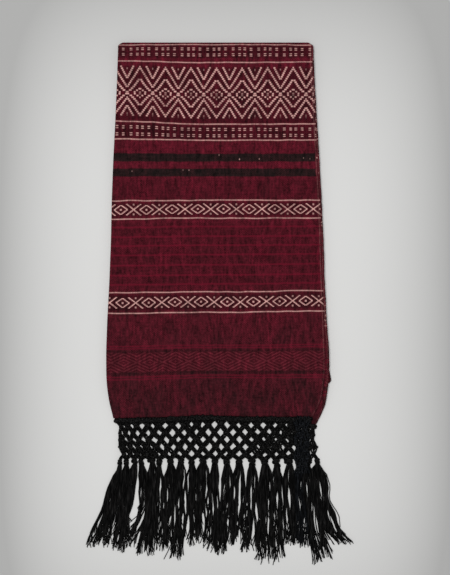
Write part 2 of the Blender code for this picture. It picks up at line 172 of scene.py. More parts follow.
# The pattern, by how far up the cloth it lies
PINK_LINES_Y = (307.2, 285.6, 211.6, 192.4, 120.4, 98.9, 10.4, -14.0)
PINK_LINE = 1.25
RED_LINES_Y = (88.8, 77.2, 66.4, 55.2, 43.0, 30.8, 19.8)
RED_LINE = 1.9
RED_BANDS = ((-53.7, 1.6), (-56.5, 1.6), (-89.6, 1.6), (-92.6, 1.6))
BLACK_BARS = ((171.4, 9.4), (153.6, 9.4))
# Middle and width of the places where the ground is darker
DARK_FIELDS = ((298.2, 15.0), (246.0, 66.0), (201.6, 16.0), (109.8, 16.0), (-1.6, 18.0))
DIM_FIELDS = ((133.0, 24.0), (54.0, 80.0))
DARK_STRIPS = ((-60.4, 3.4), (-85.8, 3.6))
# Single light threads in and beside the black bars
Tick = namedtuple("Tick", "x y wide shown", defaults=(1.0, 0.45))
TICKS = (
    Tick(x=-3.0, y=174.5),
    Tick(x=21.5, y=169.4, shown=0.75),
    Tick(x=45.3, y=169.9, shown=0.85),
    Tick(x=98.3, y=170.9, shown=0.35),
    Tick(x=106.0, y=169.8, shown=0.35),
    Tick(x=115.4, y=171.2, wide=3.4, shown=0.8),
    Tick(x=-107.5, y=155.4),
    Tick(x=-46.3, y=156.6),
    Tick(x=-39.1, y=156.6),
)
BARS_END = 3.0  # how far from the selvage the black bars end
WORN_LOW_Y = -118.0
WORN_HIGH_Y = 60.0
SELVAGE_STRIPE = 1.9  # how far in the pink warp stripe lies
DOTS_Y = (301.8, 294.8, 205.4, 197.8)
DOTS_PITCH = 30.66
DOTS_PHASE = -6.0
DOTS_OUT = (3.1, 10.7)
DOT_WIDE = 3.0
DOT_PAIR = 2.2
DOT_HIGH = 1.0
ZIGZAG_Y = 247.0
ZIGZAG_PITCH = 30.66
ZIGZAG_PHASE = -6.0
ZIGZAG_SQUEEZE = 0.873
ZIGZAG_OUTER = (31.4, 6.7)
ZIGZAG_INNER = 17.9
ZIGZAG_INNER_CURVE = 1.5
ZIGZAG_NESTED = (17.6, 7.0)
LOZENGE = (7.8, 6.0)
DIAPER_WIDE = 3.0  # the ground's small diaper
DIAPER_HIGH = 2.6
PICK = 2.2
THREAD = 1.35
STROKE = 1.1  # half of the width of a slanting line
FINE_STROKE = 1.05
CROSSING_EXTRA = 0.5  # how much wider it is where two lines cross at a shallow angle
DiamondBand = namedtuple("DiamondBand", "y pitch phase")
DIAMOND_BANDS = (
    DiamondBand(y=109.8, pitch=30.8, phase=2.3),
    DiamondBand(y=-1.6, pitch=31.4, phase=6.8),
)
DIAMOND = (8.0, 5.5)
CROSS = (8.3, 6.2)
DAMASK_Y = -72.6
DAMASK_PITCH = 31.2
DAMASK_PHASE = 7.4
DAMASK_LEAN = 0.47
DAMASK_STEP = 3.6
DAMASK_HALF = 11.5

# The knotted net, as in the frame
NET_ROWS_Y = (-142.5, -149.9, -158.8, -167.6, -176.2, -185.4, -191.2)
LAST_ROW = len(NET_ROWS_Y) - 1
CENTRE_COLUMN = 11
CENTRE_X = 6.2
FRONT_COLUMNS = 18
SECOND_COLUMNS = 19
LATE_COLUMN_ROWS = 3
NetRow = namedtuple("NetRow", "row pitch tight_after tightening")
NET_SPACING = (
    NetRow(row=0, pitch=14.7, tight_after=6.9, tightening=1.50),
    NetRow(row=3, pitch=14.5, tight_after=5.7, tightening=0.84),
    NetRow(row=6, pitch=14.2, tight_after=2.0, tightening=0.33),
)
# Where knots have slipped aside: the middle and reach of such a place, in columns and in rows, and how far
Slip = namedtuple("Slip", "column columns row rows by")
FRONT_SLIPS = (
    Slip(column=14.5, columns=1.9, row=6.5, rows=2.0, by=4.0),
    Slip(column=16.4, columns=0.9, row=6.5, rows=2.5, by=3.5),
    Slip(column=17.6, columns=2.0, row=1.5, rows=2.0, by=-6.0),
    Slip(column=18.3, columns=1.0, row=6.0, rows=2.0, by=-3.0),
    Slip(column=4.5, columns=1.8, row=4.6, rows=0.9, by=2.6),
    Slip(column=2.0, columns=0.5, row=6.5, rows=0.9, by=1.8),
    Slip(column=3.0, columns=0.5, row=6.5, rows=0.9, by=-1.8),
    Slip(column=4.0, columns=0.5, row=6.5, rows=0.9, by=2.2),
    Slip(column=5.0, columns=0.5, row=6.5, rows=0.9, by=-2.4),
    Slip(column=8.5, columns=0.8, row=2.0, rows=0.9, by=-1.8),
    Slip(column=10.6, columns=0.7, row=4.0, rows=1.0, by=1.6),
)
SECOND_SLIPS = (
    Slip(column=14.0, columns=1.5, row=4.4, rows=1.5, by=6.4),
    Slip(column=16.8, columns=1.2, row=3.0, rows=3.0, by=3.2),
    Slip(column=3.8, columns=1.3, row=5.2, rows=1.2, by=-2.6),
    Slip(column=8.0, columns=0.8, row=1.2, rows=0.9, by=3.6),
    Slip(column=11.5, columns=0.9, row=5.0, rows=1.0, by=-3.0),
    Slip(column=5.6, columns=1.0, row=1.0, rows=1.2, by=-2.4),
)
# The second net's outer columns hang close together, more so in some rows: past this place, by this share
CLOSE_FROM_X = 108.0
LEFT_EDGE_X = -122.5  # no knot of the lower rows is further left
LEFT_EDGE_ROW = 2
Close = namedtuple("Close", "row share")
CLOSING = (
    Close(row=0, share=0.25),
    Close(row=3, share=0.18),
    Close(row=4, share=0.42),
    Close(row=5, share=0.50),
    Close(row=6, share=0.64),
)
FRONT_NET_Z = 3.7
SECOND_NET_Z = 1.7
NET_LOOSE = 0.8  # how far a knot may be from its even place
HEADING_BITE = 1.6
BUNCH_LEFT = 88.5
BUNCH_RIGHT = 104.5
BUNCH_CORDS = 12
BUNCH_KNOTS = 18
KNOT_STEPS = 20
CORD_STEPS = 6
ROOMY_PITCH = 14.0

# The tassels, as in the frame
HEAD_TOP_Y = -194.7
HEAD_LOW_Y = -200.6
HEAD_WIDE = 6.4
LONGEST = 111.0
TASSEL_HALF = 8.2
# A tassel's middle runs to tip_x, late if its bow is large, and swings out by its swing on the way.
Tassel = namedtuple("Tassel", "column tip_x length bow wide swing", defaults=(1.0, 0.0))
TASSELS = (
    Tassel(column=0, tip_x=-150.5, length=91.0, bow=1.1),
    Tassel(column=1, tip_x=-137.5, length=91.0, bow=1.0),
    Tassel(column=2, tip_x=-124.0, length=98.0, bow=0.8),
    Tassel(column=3, tip_x=-109.5, length=91.0, bow=3.0, swing=7.0),
    Tassel(column=4, tip_x=-92.5, length=101.0, bow=1.6, swing=2.0),
    Tassel(column=5, tip_x=-78.7, length=98.0, bow=1.3),
    Tassel(column=6, tip_x=-65.5, length=91.0, bow=1.3),
    Tassel(column=7, tip_x=-52.8, length=107.0, bow=1.3),
    Tassel(column=8, tip_x=-39.1, length=92.0, bow=1.3),
    Tassel(column=9, tip_x=-24.7, length=90.0, bow=1.3),
    Tassel(column=10, tip_x=-11.3, length=101.0, bow=1.3),
    Tassel(column=11, tip_x=2.2, length=100.0, bow=1.3),
    Tassel(column=12, tip_x=18.6, length=94.0, bow=1.3),
    Tassel(column=13, tip_x=35.0, length=99.0, bow=1.3),
    Tassel(column=14, tip_x=51.5, length=111.0, bow=1.3),
    Tassel(column=15, tip_x=67.7, length=106.0, bow=1.3),
    Tassel(column=16, tip_x=83.4, length=92.0, bow=1.3),
    Tassel(column=17, tip_x=99.2, length=93.0, bow=1.3),
    Tassel(column=18, tip_x=121.2, length=111.0, bow=1.5, wide=1.15),
    Tassel(column=19, tip_x=146.5, length=91.0, bow=3.6, wide=1.4, swing=5.0),
)
HEAD_UNEVEN = 2.5  # how far a head may be above or below its even place
HEAD_OPENING = (0.05, 0.15)  # how far down its yarns are all spread, as a share of the longest tassel
YARN_STEPS = 12
STRANDS = 8
STRAY_SHARE = 0.07
STRAY_REACH = 12.0
CURL_SHARE = 0.32
CORD_GLOSS = 0.05
YARN_GLOSS = 0.08

# The camera looks straight down
VIEW_X = 4.1
VIEW_Y = 15.6
VIEW_WIDE = 540.0
SENSOR = 36.0

# Painted shade: the floor's colour darkens towards the edges of the view, in place of light falling off there: where it
# does so, in metres, and by how much
PAINTED_SHADE_X = 0.252
PAINTED_SHADE_Y = 0.335
PAINTED_SHADE_SIDE = 0.29
PAINTED_SHADE_ABOVE = 0.26
PAINTED_SHADE_BELOW = 0.10
PAINTED_SHADE_LIMIT = 0.6


def smoothstep(value):
    t = min(max(value, 0.0), 1.0)
    return t * t * (3.0 - 2.0 * t)


class ClothSettings(bpy.types.PropertyGroup):
    red: bpy.props.FloatVectorProperty(
        name="Red", description="The redder yarns of the ground", subtype="COLOR", size=3, default=(0.143, 0.0070, 0.0200)
    )
    brown: bpy.props.FloatVectorProperty(
        name="Brown", description="The darker yarns of the ground", subtype="COLOR", size=3, default=(0.025, 0.0078, 0.0094)
    )
    pink: bpy.props.FloatVectorProperty(
        name="Pink", description="The pattern threads", subtype="COLOR", size=3, default=(0.74, 0.415, 0.375)
    )
    black: bpy.props.FloatVectorProperty(
        name="Black", description="The black bars", subtype="COLOR", size=3, default=(0.0062, 0.0086, 0.0078)
    )
    wobble: bpy.props.FloatProperty(
        name="Edge wobble", description="How uneven the selvages are", default=0.00035, min=0.0, max=0.002, unit="LENGTH"
    )


class FringeSettings(bpy.types.PropertyGroup):
    colour: bpy.props.FloatVectorProperty(
        name="Colour", description="The black of the yarns", subtype="COLOR", size=3, default=(0.0050, 0.0048, 0.0047)
    )
    blue: bpy.props.FloatVectorProperty(
        name="Blue black", description="The yarns of the bunch", subtype="COLOR", size=3, default=(0.0042, 0.0048, 0.0060)
    )
    cord: bpy.props.FloatProperty(
        name="Cord", description="Radius of each of a cord's two yarns", default=0.00130, min=0.0003, max=0.003, unit="LENGTH"
    )
    knot: bpy.props.FloatProperty(
        name="Knot", description="Half of a knot's width", default=0.0041, min=0.001, max=0.006, unit="LENGTH"
    )
    yarn: bpy.props.FloatProperty(
        name="Yarn", description="Radius of a tassel's yarn", default=0.00052, min=0.0002, max=0.001, unit="LENGTH"
    )
    yarns: bpy.props.IntProperty(
        name="Yarns", description="Yarns in each tassel", default=54, min=14, max=140
    )


class StageSettings(bpy.types.PropertyGroup):
    height: bpy.props.FloatProperty(
        name="Height", description="How high the camera is", default=2.2, min=0.5, max=6.0, unit="LENGTH"
    )
    floor: bpy.props.FloatVectorProperty(
        name="Floor", description="The pale floor", subtype="COLOR", size=3, default=(0.775, 0.775, 0.765)
    )
    key: bpy.props.FloatProperty(
        name="Key light", description="Power of the large lamp", default=43.5, min=0.0, max=200.0
    )
    sky: bpy.props.FloatProperty(
        name="Soft light", description="Strength of the light from all round", default=0.32, min=0.0, max=3.0
    )


class Signal:
    """A number that changes over a surface, worked out by Math nodes in one tree."""

    def __init__(self, tree, value):
        self.tree = tree
        self.value = value

    def math(self, operation, *others, clamp=False):
        node = self.tree.nodes.new("ShaderNodeMath")
        node.operation = operation
        node.use_clamp = clamp
        for socket, value in zip(node.inputs, (self, *others), strict=False):
            join(self.tree, value, socket)
        return Signal(self.tree, node.outputs[0])

    def __add__(self, other):
        return self.math("ADD", other)

    def __sub__(self, other):
        return self.math("SUBTRACT", other)

    def __rsub__(self, other):
        return Signal(self.tree, other).math("SUBTRACT", self)

    def __mul__(self, other):
        return self.math("MULTIPLY", other)

    def __truediv__(self, other):
        return self.math("DIVIDE", other)

    __radd__ = __add__
    __rmul__ = __mul__

    def __abs__(self):
        return self.math("ABSOLUTE")

    def least(self, other):
        return self.math("MINIMUM", other)

    def most(self, other):
        return self.math("MAXIMUM", other)

    def above(self, other):
        return self.math("GREATER_THAN", other)

    def power(self, other):
        return self.most(0.0).math("POWER", other)

    def held(self):
        """The same number, kept from 0 to 1."""
        return self.math("ADD", 0.0, clamp=True)

    def snapped(self, step):
        """The nearest whole step."""
        return self.math("SNAP", step) + step / 2 if step else self

    def from_peak(self, pitch, phase):
        """How far the nearest repeat's middle is, from 0 to half of the pitch."""
        return abs((self - phase).math("WRAP", pitch / 2, -pitch / 2))

    def within(self, half, soft):
        """1 where this is under half, and 0 beyond it, with a soft edge."""
        return ((half - self) / soft + 0.5).held()


def join(tree, value, socket):
    """Joins a socket to another node's output, or sets its value."""
    if isinstance(value, Signal):
        value = value.value
    if isinstance(value, bpy.types.NodeSocket):
        tree.links.new(value, socket)
    elif socket.type == "RGBA":
        socket.default_value = (*value, 1.0)
    else:
        socket.default_value = value


def add_node(tree, kind, settings=None, **inputs):
    """A node with its settings, and its inputs by name, with spaces written as underscores."""
    node = tree.nodes.new(kind)
    for name, value in (settings or {}).items():
        setattr(node, name, value)
    for name, value in inputs.items():
        join(tree, value, node.inputs[name.replace("_", " ")])
    return node


def new_group(name, inputs, outputs):
    """An empty shader group, its inputs as signals, and the node that its outputs go to."""
    group = bpy.data.node_groups.new(name, "ShaderNodeTree")
    for label, default in inputs.items():
        socket = group.interface.new_socket(label, in_out="INPUT", socket_type="NodeSocketFloat")
        socket.default_value = default
    for label in outputs:
        group.interface.new_socket(label, in_out="OUTPUT", socket_type="NodeSocketFloat")
    entry = group.nodes.new("NodeGroupInput")
    leave = group.nodes.new("NodeGroupOutput")
    return group, [Signal(group, entry.outputs[label]) for label in inputs], leave


def place_group(tree, group, **inputs):
    node = add_node(tree, "ShaderNodeGroup", {"node_tree": group}, **inputs)
    return {socket.name: Signal(tree, socket) for socket in node.outputs}


def noise_signal(tree, vector, scale, detail=2.0, roughness=0.5):
    """Noise from 0 to 1, of a scale in features a metre."""
    node = add_node(tree, "ShaderNodeTexNoise", None, Vector=vector, Scale=scale, Detail=detail, Roughness=roughness)
    return Signal(tree, node.outputs["Fac"])


def in_millimetres(tree, across, along, stretch=1.0):
    """A vector from two lengths in millimetres, the second shrunk so that a texture is drawn out along it."""
    node = add_node(tree, "ShaderNodeCombineXYZ", None, X=across, Y=along * stretch)
    return node.outputs[0]


def weave_group():
    """The ground weave: how red it is in streaks and patches, and a small diaper that shows in places."""
    outputs = ("Red", "Shade", "Height")
    group, (across, along), leave = new_group("Diaper weave", {"Across": 0.0, "Along": 0.0}, outputs)
    streaks = noise_signal(group, in_millimetres(group, across, along, 0.25), 0.19, 2.0, 0.6)
    fine_streaks = noise_signal(group, in_millimetres(group, across, along, 0.3), 0.35, 1.0, 0.6)
    picks = noise_signal(group, in_millimetres(group, across * 0.12, along), 0.45, 2.0, 0.6)
    mottle = noise_signal(group, in_millimetres(group, across, along, 0.8), 0.42, 2.0, 0.65)
    patches = noise_signal(group, in_millimetres(group, across, along, 0.6), 0.045, 1.0, 0.5)
    diaper = (across * (math.tau / DIAPER_WIDE)).math("COSINE") * (along * (math.tau / DIAPER_HIGH)).math("COSINE")
    shown = ((patches - 0.42) * 5.0).held() * 0.8 + 0.2
    ramp = {"interpolation_type": "SMOOTHSTEP"}
    worn_end = add_node(group, "ShaderNodeMapRange", ramp, Value=along, From_Min=WORN_LOW_Y, From_Max=WORN_HIGH_Y)
    red = (
        0.21
        + Signal(group, worn_end.outputs[0]) * 0.31
        + (streaks - 0.5) * 0.45
        + (fine_streaks - 0.5) * 0.25
        + (mottle - 0.5) * 0.3
        + (patches - 0.5) * 0.45
        + diaper * shown * 0.05
    )
    join(group, red, leave.inputs["Red"])
    grain = noise_signal(group, in_millimetres(group, across, along, 0.9), 0.5, 1.0, 0.6)
    streaky = (streaks - 0.5) * 1.3 + (fine_streaks - 0.5) * 1.1
    shade = 1.0 + (picks - 0.5) * 0.8 + (grain - 0.5) * 1.3 + streaky + diaper * shown * 0.30
    join(group, shade.most(0.3), leave.inputs["Shade"])
    rib = (across * (math.tau / 0.88)).math("SINE")
    pick = (along * (math.tau / 1.1)).math("SINE")
    join(group, diaper * 0.5 + rib * 0.25 + pick * 0.25, leave.inputs["Height"])
    return group


def line_group():
    """One weft line: its middle, its width and how soft its edges are."""
    inputs = {"Along": 0.0, "Middle": 0.0, "Width": 1.0, "Soft": 0.5}
    group, (along, middle, width, soft), leave = new_group("Weft line", inputs, ("Line",))
    line = ((width / 2 - abs(along - middle)) / soft + 0.5).held()
    join(group, line, leave.inputs["Line"])
    return group


def stroke(distance, half, soft=0.7):
    """A slanting pattern line, drawn where a distance from it is small."""
    return abs(distance).within(half, soft)


def zigzag_signal(across, along):
    """The wide band: two zigzags on each side of a row of lozenges, which cross between them."""
    rows = (along - ZIGZAG_Y).snapped(PICK)
    thread = stroke(along - ZIGZAG_Y - rows, THREAD / 2, 0.9) * 0.6 + 0.4
    lower = 1.0 - rows.above(0.0)
    up = abs(rows) * (1.0 + lower * (1.0 / ZIGZAG_SQUEEZE - 1.0))
    half = ZIGZAG_PITCH / 2
    aside = across.from_peak(ZIGZAG_PITCH, ZIGZAG_PHASE)
    high, low = ZIGZAG_OUTER
    outer = stroke(aside - (high - up) * (half / (high - low)), STROKE) * (up - low).above(-PICK / 2)
    curve = 1.0 - ((up - PICK / 2) / ZIGZAG_INNER).power(1.0 / ZIGZAG_INNER_CURVE)
    inner = stroke(aside - curve * half, STROKE + (1.0 - up / ZIGZAG_INNER).held() * CROSSING_EXTRA)
    inner = inner * up.within(ZIGZAG_INNER + 0.4, 0.2)
    tip, mouth = ZIGZAG_NESTED
    nested = stroke(half - aside - (up - tip) * (mouth / (high - tip)), STROKE) * (up - tip).above(-PICK / 2)
    tick = (half - aside).within(0.7, 0.5) * stroke(up - high + 1.5, 1.5) * 0.35
    wide, tall = LOZENGE
    lozenge = stroke(aside - (1.0 - up / tall) * wide, FINE_STROKE) * up.within(tall + 0.6, 0.2)
    dot = aside.within(1.2, 0.6) * up.within(1.2, 0.6) * 0.7
    drawn = outer.most(inner).most(nested).most(lozenge).most(dot)
    inside = up.within(high + PICK / 2, 0.2)
    return (drawn * thread * inside).most(tick)


def dots_signal(across, along):
    """Rows of small blocks, four to a repeat, each of two short threads."""
    aside = across.from_peak(DOTS_PITCH, DOTS_PHASE)
    blocks = None
    for out in DOTS_OUT:
        block = stroke(aside - out, DOT_WIDE / 2, 0.8)
        blocks = block if blocks is None else blocks.most(block)
    rows = None
    for y in DOTS_Y:
        row = stroke(abs(along - y) - DOT_PAIR / 2, DOT_HIGH / 2, 0.5)
        rows = row if rows is None else rows.most(row)
    return blocks * rows


def diamond_signal(across, along, band):
    """A narrow band of lozenges and crosses by turns."""
    rows = (along - band.y).snapped(PICK / 2)
    up = abs(rows)
    thread = stroke(along - band.y - rows, THREAD / 3, 0.5) * 0.4 + 0.6
    half = band.pitch / 2
    aside = across.from_peak(band.pitch, band.phase)
    wide, tall = DIAMOND
    lozenge = stroke(aside - (1.0 - up / tall) * wide, FINE_STROKE) * up.within(tall + 0.4, 0.2)
    reach, rise = CROSS
    cross = stroke(half - aside - up * (reach / rise), FINE_STROKE) * up.within(rise, 0.2)
    dot = aside.within(1.1, 0.6) * up.within(1.0, 0.6) * 0.9
    beads = (half - aside).within(1.0, 0.6) * stroke(up - rise + 0.8, 0.9, 0.5) * 0.6
    return lozenge.most(cross).most(dot).most(beads) * thread


def damask_signal(across, along):
    """Tone-on-tone nested diamonds, from -1 to 1, inside their band."""
    up = abs(along - DAMASK_Y)
    aside = across.from_peak(DAMASK_PITCH, DAMASK_PHASE)
    rings = ((up + aside * DAMASK_LEAN) * (math.tau / DAMASK_STEP)).math("COSINE")
    return rings * up.within(DAMASK_HALF, 1.5)


def brocade_group(line):
    """Where the pink, black, bright and dark threads show, up and across the cloth."""
    outputs = ("Pink", "Black", "Bright", "Dark", "Damask")
    group, (across, along), leave = new_group("Rebozo pattern", {"Across": 0.0, "Along": 0.0}, outputs)

    def lines(places, soft, level=along):
        found = None
        for middle, width in places:
            one = place_group(group, line, Along=level, Middle=middle, Width=width, Soft=soft)["Line"]
            found = one if found is None else found.most(one)
        return found

    worn = noise_signal(group, in_millimetres(group, across, along), 0.40, 2.0, 0.6)
    rubbed = noise_signal(group, in_millimetres(group, across, along), 0.035, 2.0, 0.5)
    fade = (worn * 1.7 + rubbed * 1.2 - 0.59).held()
    pink = lines([(y, PINK_LINE) for y in PINK_LINES_Y], 0.8) * 0.72
    pink = pink.most(zigzag_signal(across, along)).most(dots_signal(across, along) * 0.85)
    for band in DIAMOND_BANDS:
        pink = pink.most(diamond_signal(across, along, band))
    for tick in TICKS:
        pink = pink.most(stroke(across - tick.x, tick.wide / 2) * stroke(along - tick.y, 0.8) * tick.shown)
    join(group, pink * fade, leave.inputs["Pink"])
    wavy = along + (noise_signal(group, in_millimetres(group, across, along, 0.3), 0.11, 2.0, 0.6) - 0.5) * 1.6
    join(group, lines(BLACK_BARS, 1.1, wavy), leave.inputs["Black"])
    bright = lines([(y, RED_LINE) for y in RED_LINES_Y], 1.2)
    bright = bright.most(lines(RED_BANDS, 0.9) * 0.75).most(lines(((DAMASK_Y, 2.0 * DAMASK_HALF),), 1.5) * 0.22)
    join(group, bright, leave.inputs["Bright"])
    dark = (lines(DARK_FIELDS, 3.0) * 0.62).most(lines(DIM_FIELDS, 6.0) * 0.28).most(lines(DARK_STRIPS, 2.4) * 0.4)
    join(group, dark, leave.inputs["Dark"])
    join(group, damask_signal(across, along), leave.inputs["Damask"])
    return group


def mix_colour(tree, share, first, second):
    node = tree.nodes.new("ShaderNodeMix")
    node.data_type = "RGBA"
    join(tree, share, node.inputs[0])
    join(tree, first, node.inputs[6])
    join(tree, second, node.inputs[7])
    return node.outputs[2]


def shaded(tree, colour, shade):
    """A colour made lighter or darker."""
    node = add_node(tree, "ShaderNodeVectorMath", {"operation": "SCALE"}, Scale=shade)
    join(tree, colour, node.inputs[0])
    return node.outputs[0]


def new_material(name, roughness, specular, sheen):
    material = bpy.data.materials.new(name)
    material.use_nodes = True
    shader = material.node_tree.nodes["Principled BSDF"]
    shader.inputs["Roughness"].default_value = roughness
    shader.inputs["Specular IOR Level"].default_value = specular
    shader.inputs["Sheen Weight"].default_value = sheen
    return material, material.node_tree, shader


def uv_signals(tree, layer):
    """The two coordinates of a UV layer."""
    place = add_node(tree, "ShaderNodeUVMap", {"uv_map": layer}).outputs[0]
    split = add_node(tree, "ShaderNodeSeparateXYZ", None, Vector=place)
    return Signal(tree, split.outputs[0]), Signal(tree, split.outputs[1])


def cloth_material(name, settings, groups, drop=0.0, wrong_side=0.0):
    """The woven cloth. drop shifts the pattern down the cloth, and wrong_side hides its floats."""
    material, tree, shader = new_material(name, 0.92, 0.05, 0.0)
    across, along = (length / MM for length in uv_signals(tree, THREADS))
    along = along + drop
    inside = uv_signals(tree, EDGE)[0] / MM
    weave = place_group(tree, groups["weave"], Across=across, Along=along)
    brocade = place_group(tree, groups["brocade"], Across=across, Along=along)
    red = weave["Red"] + brocade["Bright"] * 0.20 - brocade["Dark"] * 0.25 + brocade["Damask"] * 0.06
    colour = mix_colour(tree, red.held(), settings.brown, settings.red)
    shade = weave["Shade"] * (1.0 + brocade["Damask"] * 0.28 - brocade["Dark"] * 0.40)
    colour = shaded(tree, colour, shade)
    colour = mix_colour(tree, brocade["Bright"] * 0.55, colour, settings.red)
    black = brocade["Black"] * (1.0 - red.held() * 0.26) * (inside - BARS_END + 0.5).held()
    colour = mix_colour(tree, black, colour, shaded(tree, settings.black, shade))
    pink = (weave["Shade"] * 0.45 + 0.55).least(1.15)
    stripe = stroke(inside - SELVAGE_STRIPE, 0.6, 0.9) * weave["Shade"] * weave["Red"] * 0.14
    shown = (brocade["Pink"] * (1.0 - wrong_side)).most(stripe.held()).most(brocade["Damask"] * 0.016)
    colour = mix_colour(tree, shown, colour, shaded(tree, settings.pink, pink))
    join(tree, colour, shader.inputs["Base Color"])
    height = weave["Height"] * 0.12 + brocade["Pink"] * 0.25 + brocade["Black"] * 0.1
    bump = add_node(tree, "ShaderNodeBump", None, Height=height, Distance=MM, Strength=0.6)
    join(tree, bump.outputs[0], shader.inputs["Normal"])
    return material


def yarn_group():
    """The twist of a plied yarn, from the mesh's own UV map, which runs along it and round it: its height, and painted
    shade that darkens the grooves between the plies.
    """
    inputs = {"Along": 0.0, "Round": 0.0, "Turns": 10.0}
    group, (along, round_it, turns), leave = new_group("Yarn twist", inputs, ("Shade", "Height"))
    ply = ((along * turns + round_it) * (2 * math.tau)).math("SINE")
    join(group, ply, leave.inputs["Height"])
    # painted shade: the yarn's colour is darker where the twist's height is low, in the grooves between the plies
    join(group, 1.0 + ply * 0.25, leave.inputs["Shade"])
    return group


def yarn_material(name, colour, groups, turns, gloss, stretch=1.0):
    """Soft yarn, whose colour carries a steep noise of random tone with painted glints and painted shade. A stretch
    under 1 draws these lighter and darker places out down the fringe.
    """
    material, tree, shader = new_material(name, 0.45, gloss, 0.0)
    along, round_it = uv_signals(tree, THREADS)
    twist = place_group(tree, groups["yarn"], Along=along, Round=round_it, Turns=turns)
    place = add_node(tree, "ShaderNodeSeparateXYZ", None, Vector=tree.nodes.new("ShaderNodeTexCoord").outputs["Object"])
    across, up = (Signal(tree, place.outputs[axis]) / MM for axis in (0, 1))
    fuzz_glints_and_shade = noise_signal(tree, in_millimetres(tree, across, up, stretch), 0.55, 2.0, 0.6)
    # painted glints and painted shade: the noise, raised to a steep power, makes some places much lighter and others
    # near black, besides the yarns' own random tone
    shade = twist["Shade"] * (fuzz_glints_and_shade * 1.5).power(5.5) * 3.6
    join(tree, shaded(tree, colour, shade), shader.inputs["Base Color"])
    bump = add_node(tree, "ShaderNodeBump", None, Height=twist["Height"] * 0.15 + fuzz_glints_and_shade * 0.3, Distance=MM, Strength=0.8)
    join(tree, bump.outputs[0], shader.inputs["Normal"])
    return material


def shared_groups():
    """The node groups that the materials share, made once."""
    line = bpy.data.node_groups.get("Weft line") or line_group()
    return {
        "weave": bpy.data.node_groups.get("Diaper weave") or weave_group(),
        "brocade": bpy.data.node_groups.get("Rebozo pattern") or brocade_group(line),
        "yarn": bpy.data.node_groups.get("Yarn twist") or yarn_group(),
    }


def section_at(y, column):
    """A column of SECTIONS at a height up the cloth, read along a curve rather than a broken line."""
    ys = [section.y for section in SECTIONS]
    values = [getattr(section, column) for section in SECTIONS]
    low, here, high = (float(np.interp(y + step, ys, values)) for step in (-SOFTEN, 0.0, SOFTEN))
    return (low + 2.0 * here + high) / 4.0


def upper_side(y):
    """Height of the front layer's upper side, which lies on the stack and then runs down to the fringe."""
    rise = smoothstep((y - SLOPE_LOW_Y) / (SLOPE_HIGH_Y - SLOPE_LOW_Y))
    return HEM_HIGH + (STACK_HIGH - HEM_HIGH) * rise


def ripple(x, y):
    """Soft waves across the end of the cloth."""
    fade = smoothstep((RIPPLE_FROM_Y - y) / RIPPLE_FULL)
    wave = 0.6 * math.sin(math.tau * x / 61.0 + 0.9) + 0.4 * math.sin(math.tau * x / 39.0 + 2.1)
    return RIPPLE * fade * wave


def creased(x, y):
    """How far the creases press the cloth down at a place."""
    down = 0.0
    for crease in CREASES:
        up = (y - crease.y) / crease.length
        aside = (x - crease.x - crease.lean * (y - crease.y)) / crease.width
        if abs(up) < 1.0 and abs(aside) < 2.5:
            down += crease.depth * (1.0 - smoothstep(abs(up))) * math.exp(-(aside**2))
    return down


def weft_rise(x, y):
    """How much higher the weft lies here than in the middle of the cloth."""
    heights = [weft.y for weft in WEFTS]
    left = float(np.interp(y, heights, [weft.left for weft in WEFTS]))
    right = float(np.interp(y, heights, [weft.right for weft in WEFTS]))
    from_left = smoothstep((WEFT_LEFT[1] - x) / (WEFT_LEFT[1] - WEFT_LEFT[0]))
    from_right = smoothstep((x - WEFT_RIGHT[0]) / (WEFT_RIGHT[1] - WEFT_RIGHT[0]))
    wobble = noise.noise(Vector((x, y * 0.7, 3.0)) / WEFT_WOBBLE_SCALE)
    return left * from_left + right * from_right + WEFT_WOBBLE * wobble


Run = namedtuple("Run", "y z inward_y inward_z section_y corner")


def run_at(along):
    """A place along the upper layers, by its distance up the flat, round the top fold and back under."""
    turn = (along - FOLD_AXIS_Y) / FOLD_RADIUS
    if turn <= 0.0:
        return Run(along, upper_side(along), 0.0, -1.0, along, 0.0)
    if turn >= math.pi:
        return Run(FOLD_AXIS_Y - (turn - math.pi) * FOLD_RADIUS, 0.0, 0.0, 1.0, FOLD_AXIS_Y, 0.0)
    out_y, out_z = math.sin(turn), math.cos(turn)
    y, z = FOLD_AXIS_Y + FOLD_RADIUS * out_y, FOLD_RADIUS * (1.0 + out_z)
    return Run(y, z, -out_y, -out_z, FOLD_AXIS_Y, CORNER_IN * out_y**2)


def spaced(first, last, step):
    """Even places from first to last, about a step apart."""
    return list(np.linspace(first, last, max(2, round(abs(last - first) / step) + 1)))


def along_places():
    """Distances along the upper layers, closer together round the top fold."""
    turn = math.pi * FOLD_RADIUS
    places = spaced(HEM_Y, FOLD_AXIS_Y, GRID_STEP)
    places += spaced(FOLD_AXIS_Y, FOLD_AXIS_Y + turn, turn / (2 * ROUND_STEPS))[1:]
    places += spaced(FOLD_AXIS_Y + turn, FOLD_AXIS_Y + turn + UNDER_REACH, GRID_STEP)[1:]
    return places


def make_object(name, mesh, material, slot, *nodes):
    """A piece in the scene, which stands for its nodes of the frame and rides with them."""
    old = bpy.data.objects.get(name)
    if old:
        bpy.data.objects.remove(old, do_unlink=True)
    made = bpy.data.objects.new(name, mesh)
    bpy.context.scene.collection.objects.link(made)
    mesh.materials.clear()
    mesh.materials.append(material)
    mesh.shade_smooth()
    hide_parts(*nodes)
    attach(made, "root")
    return made


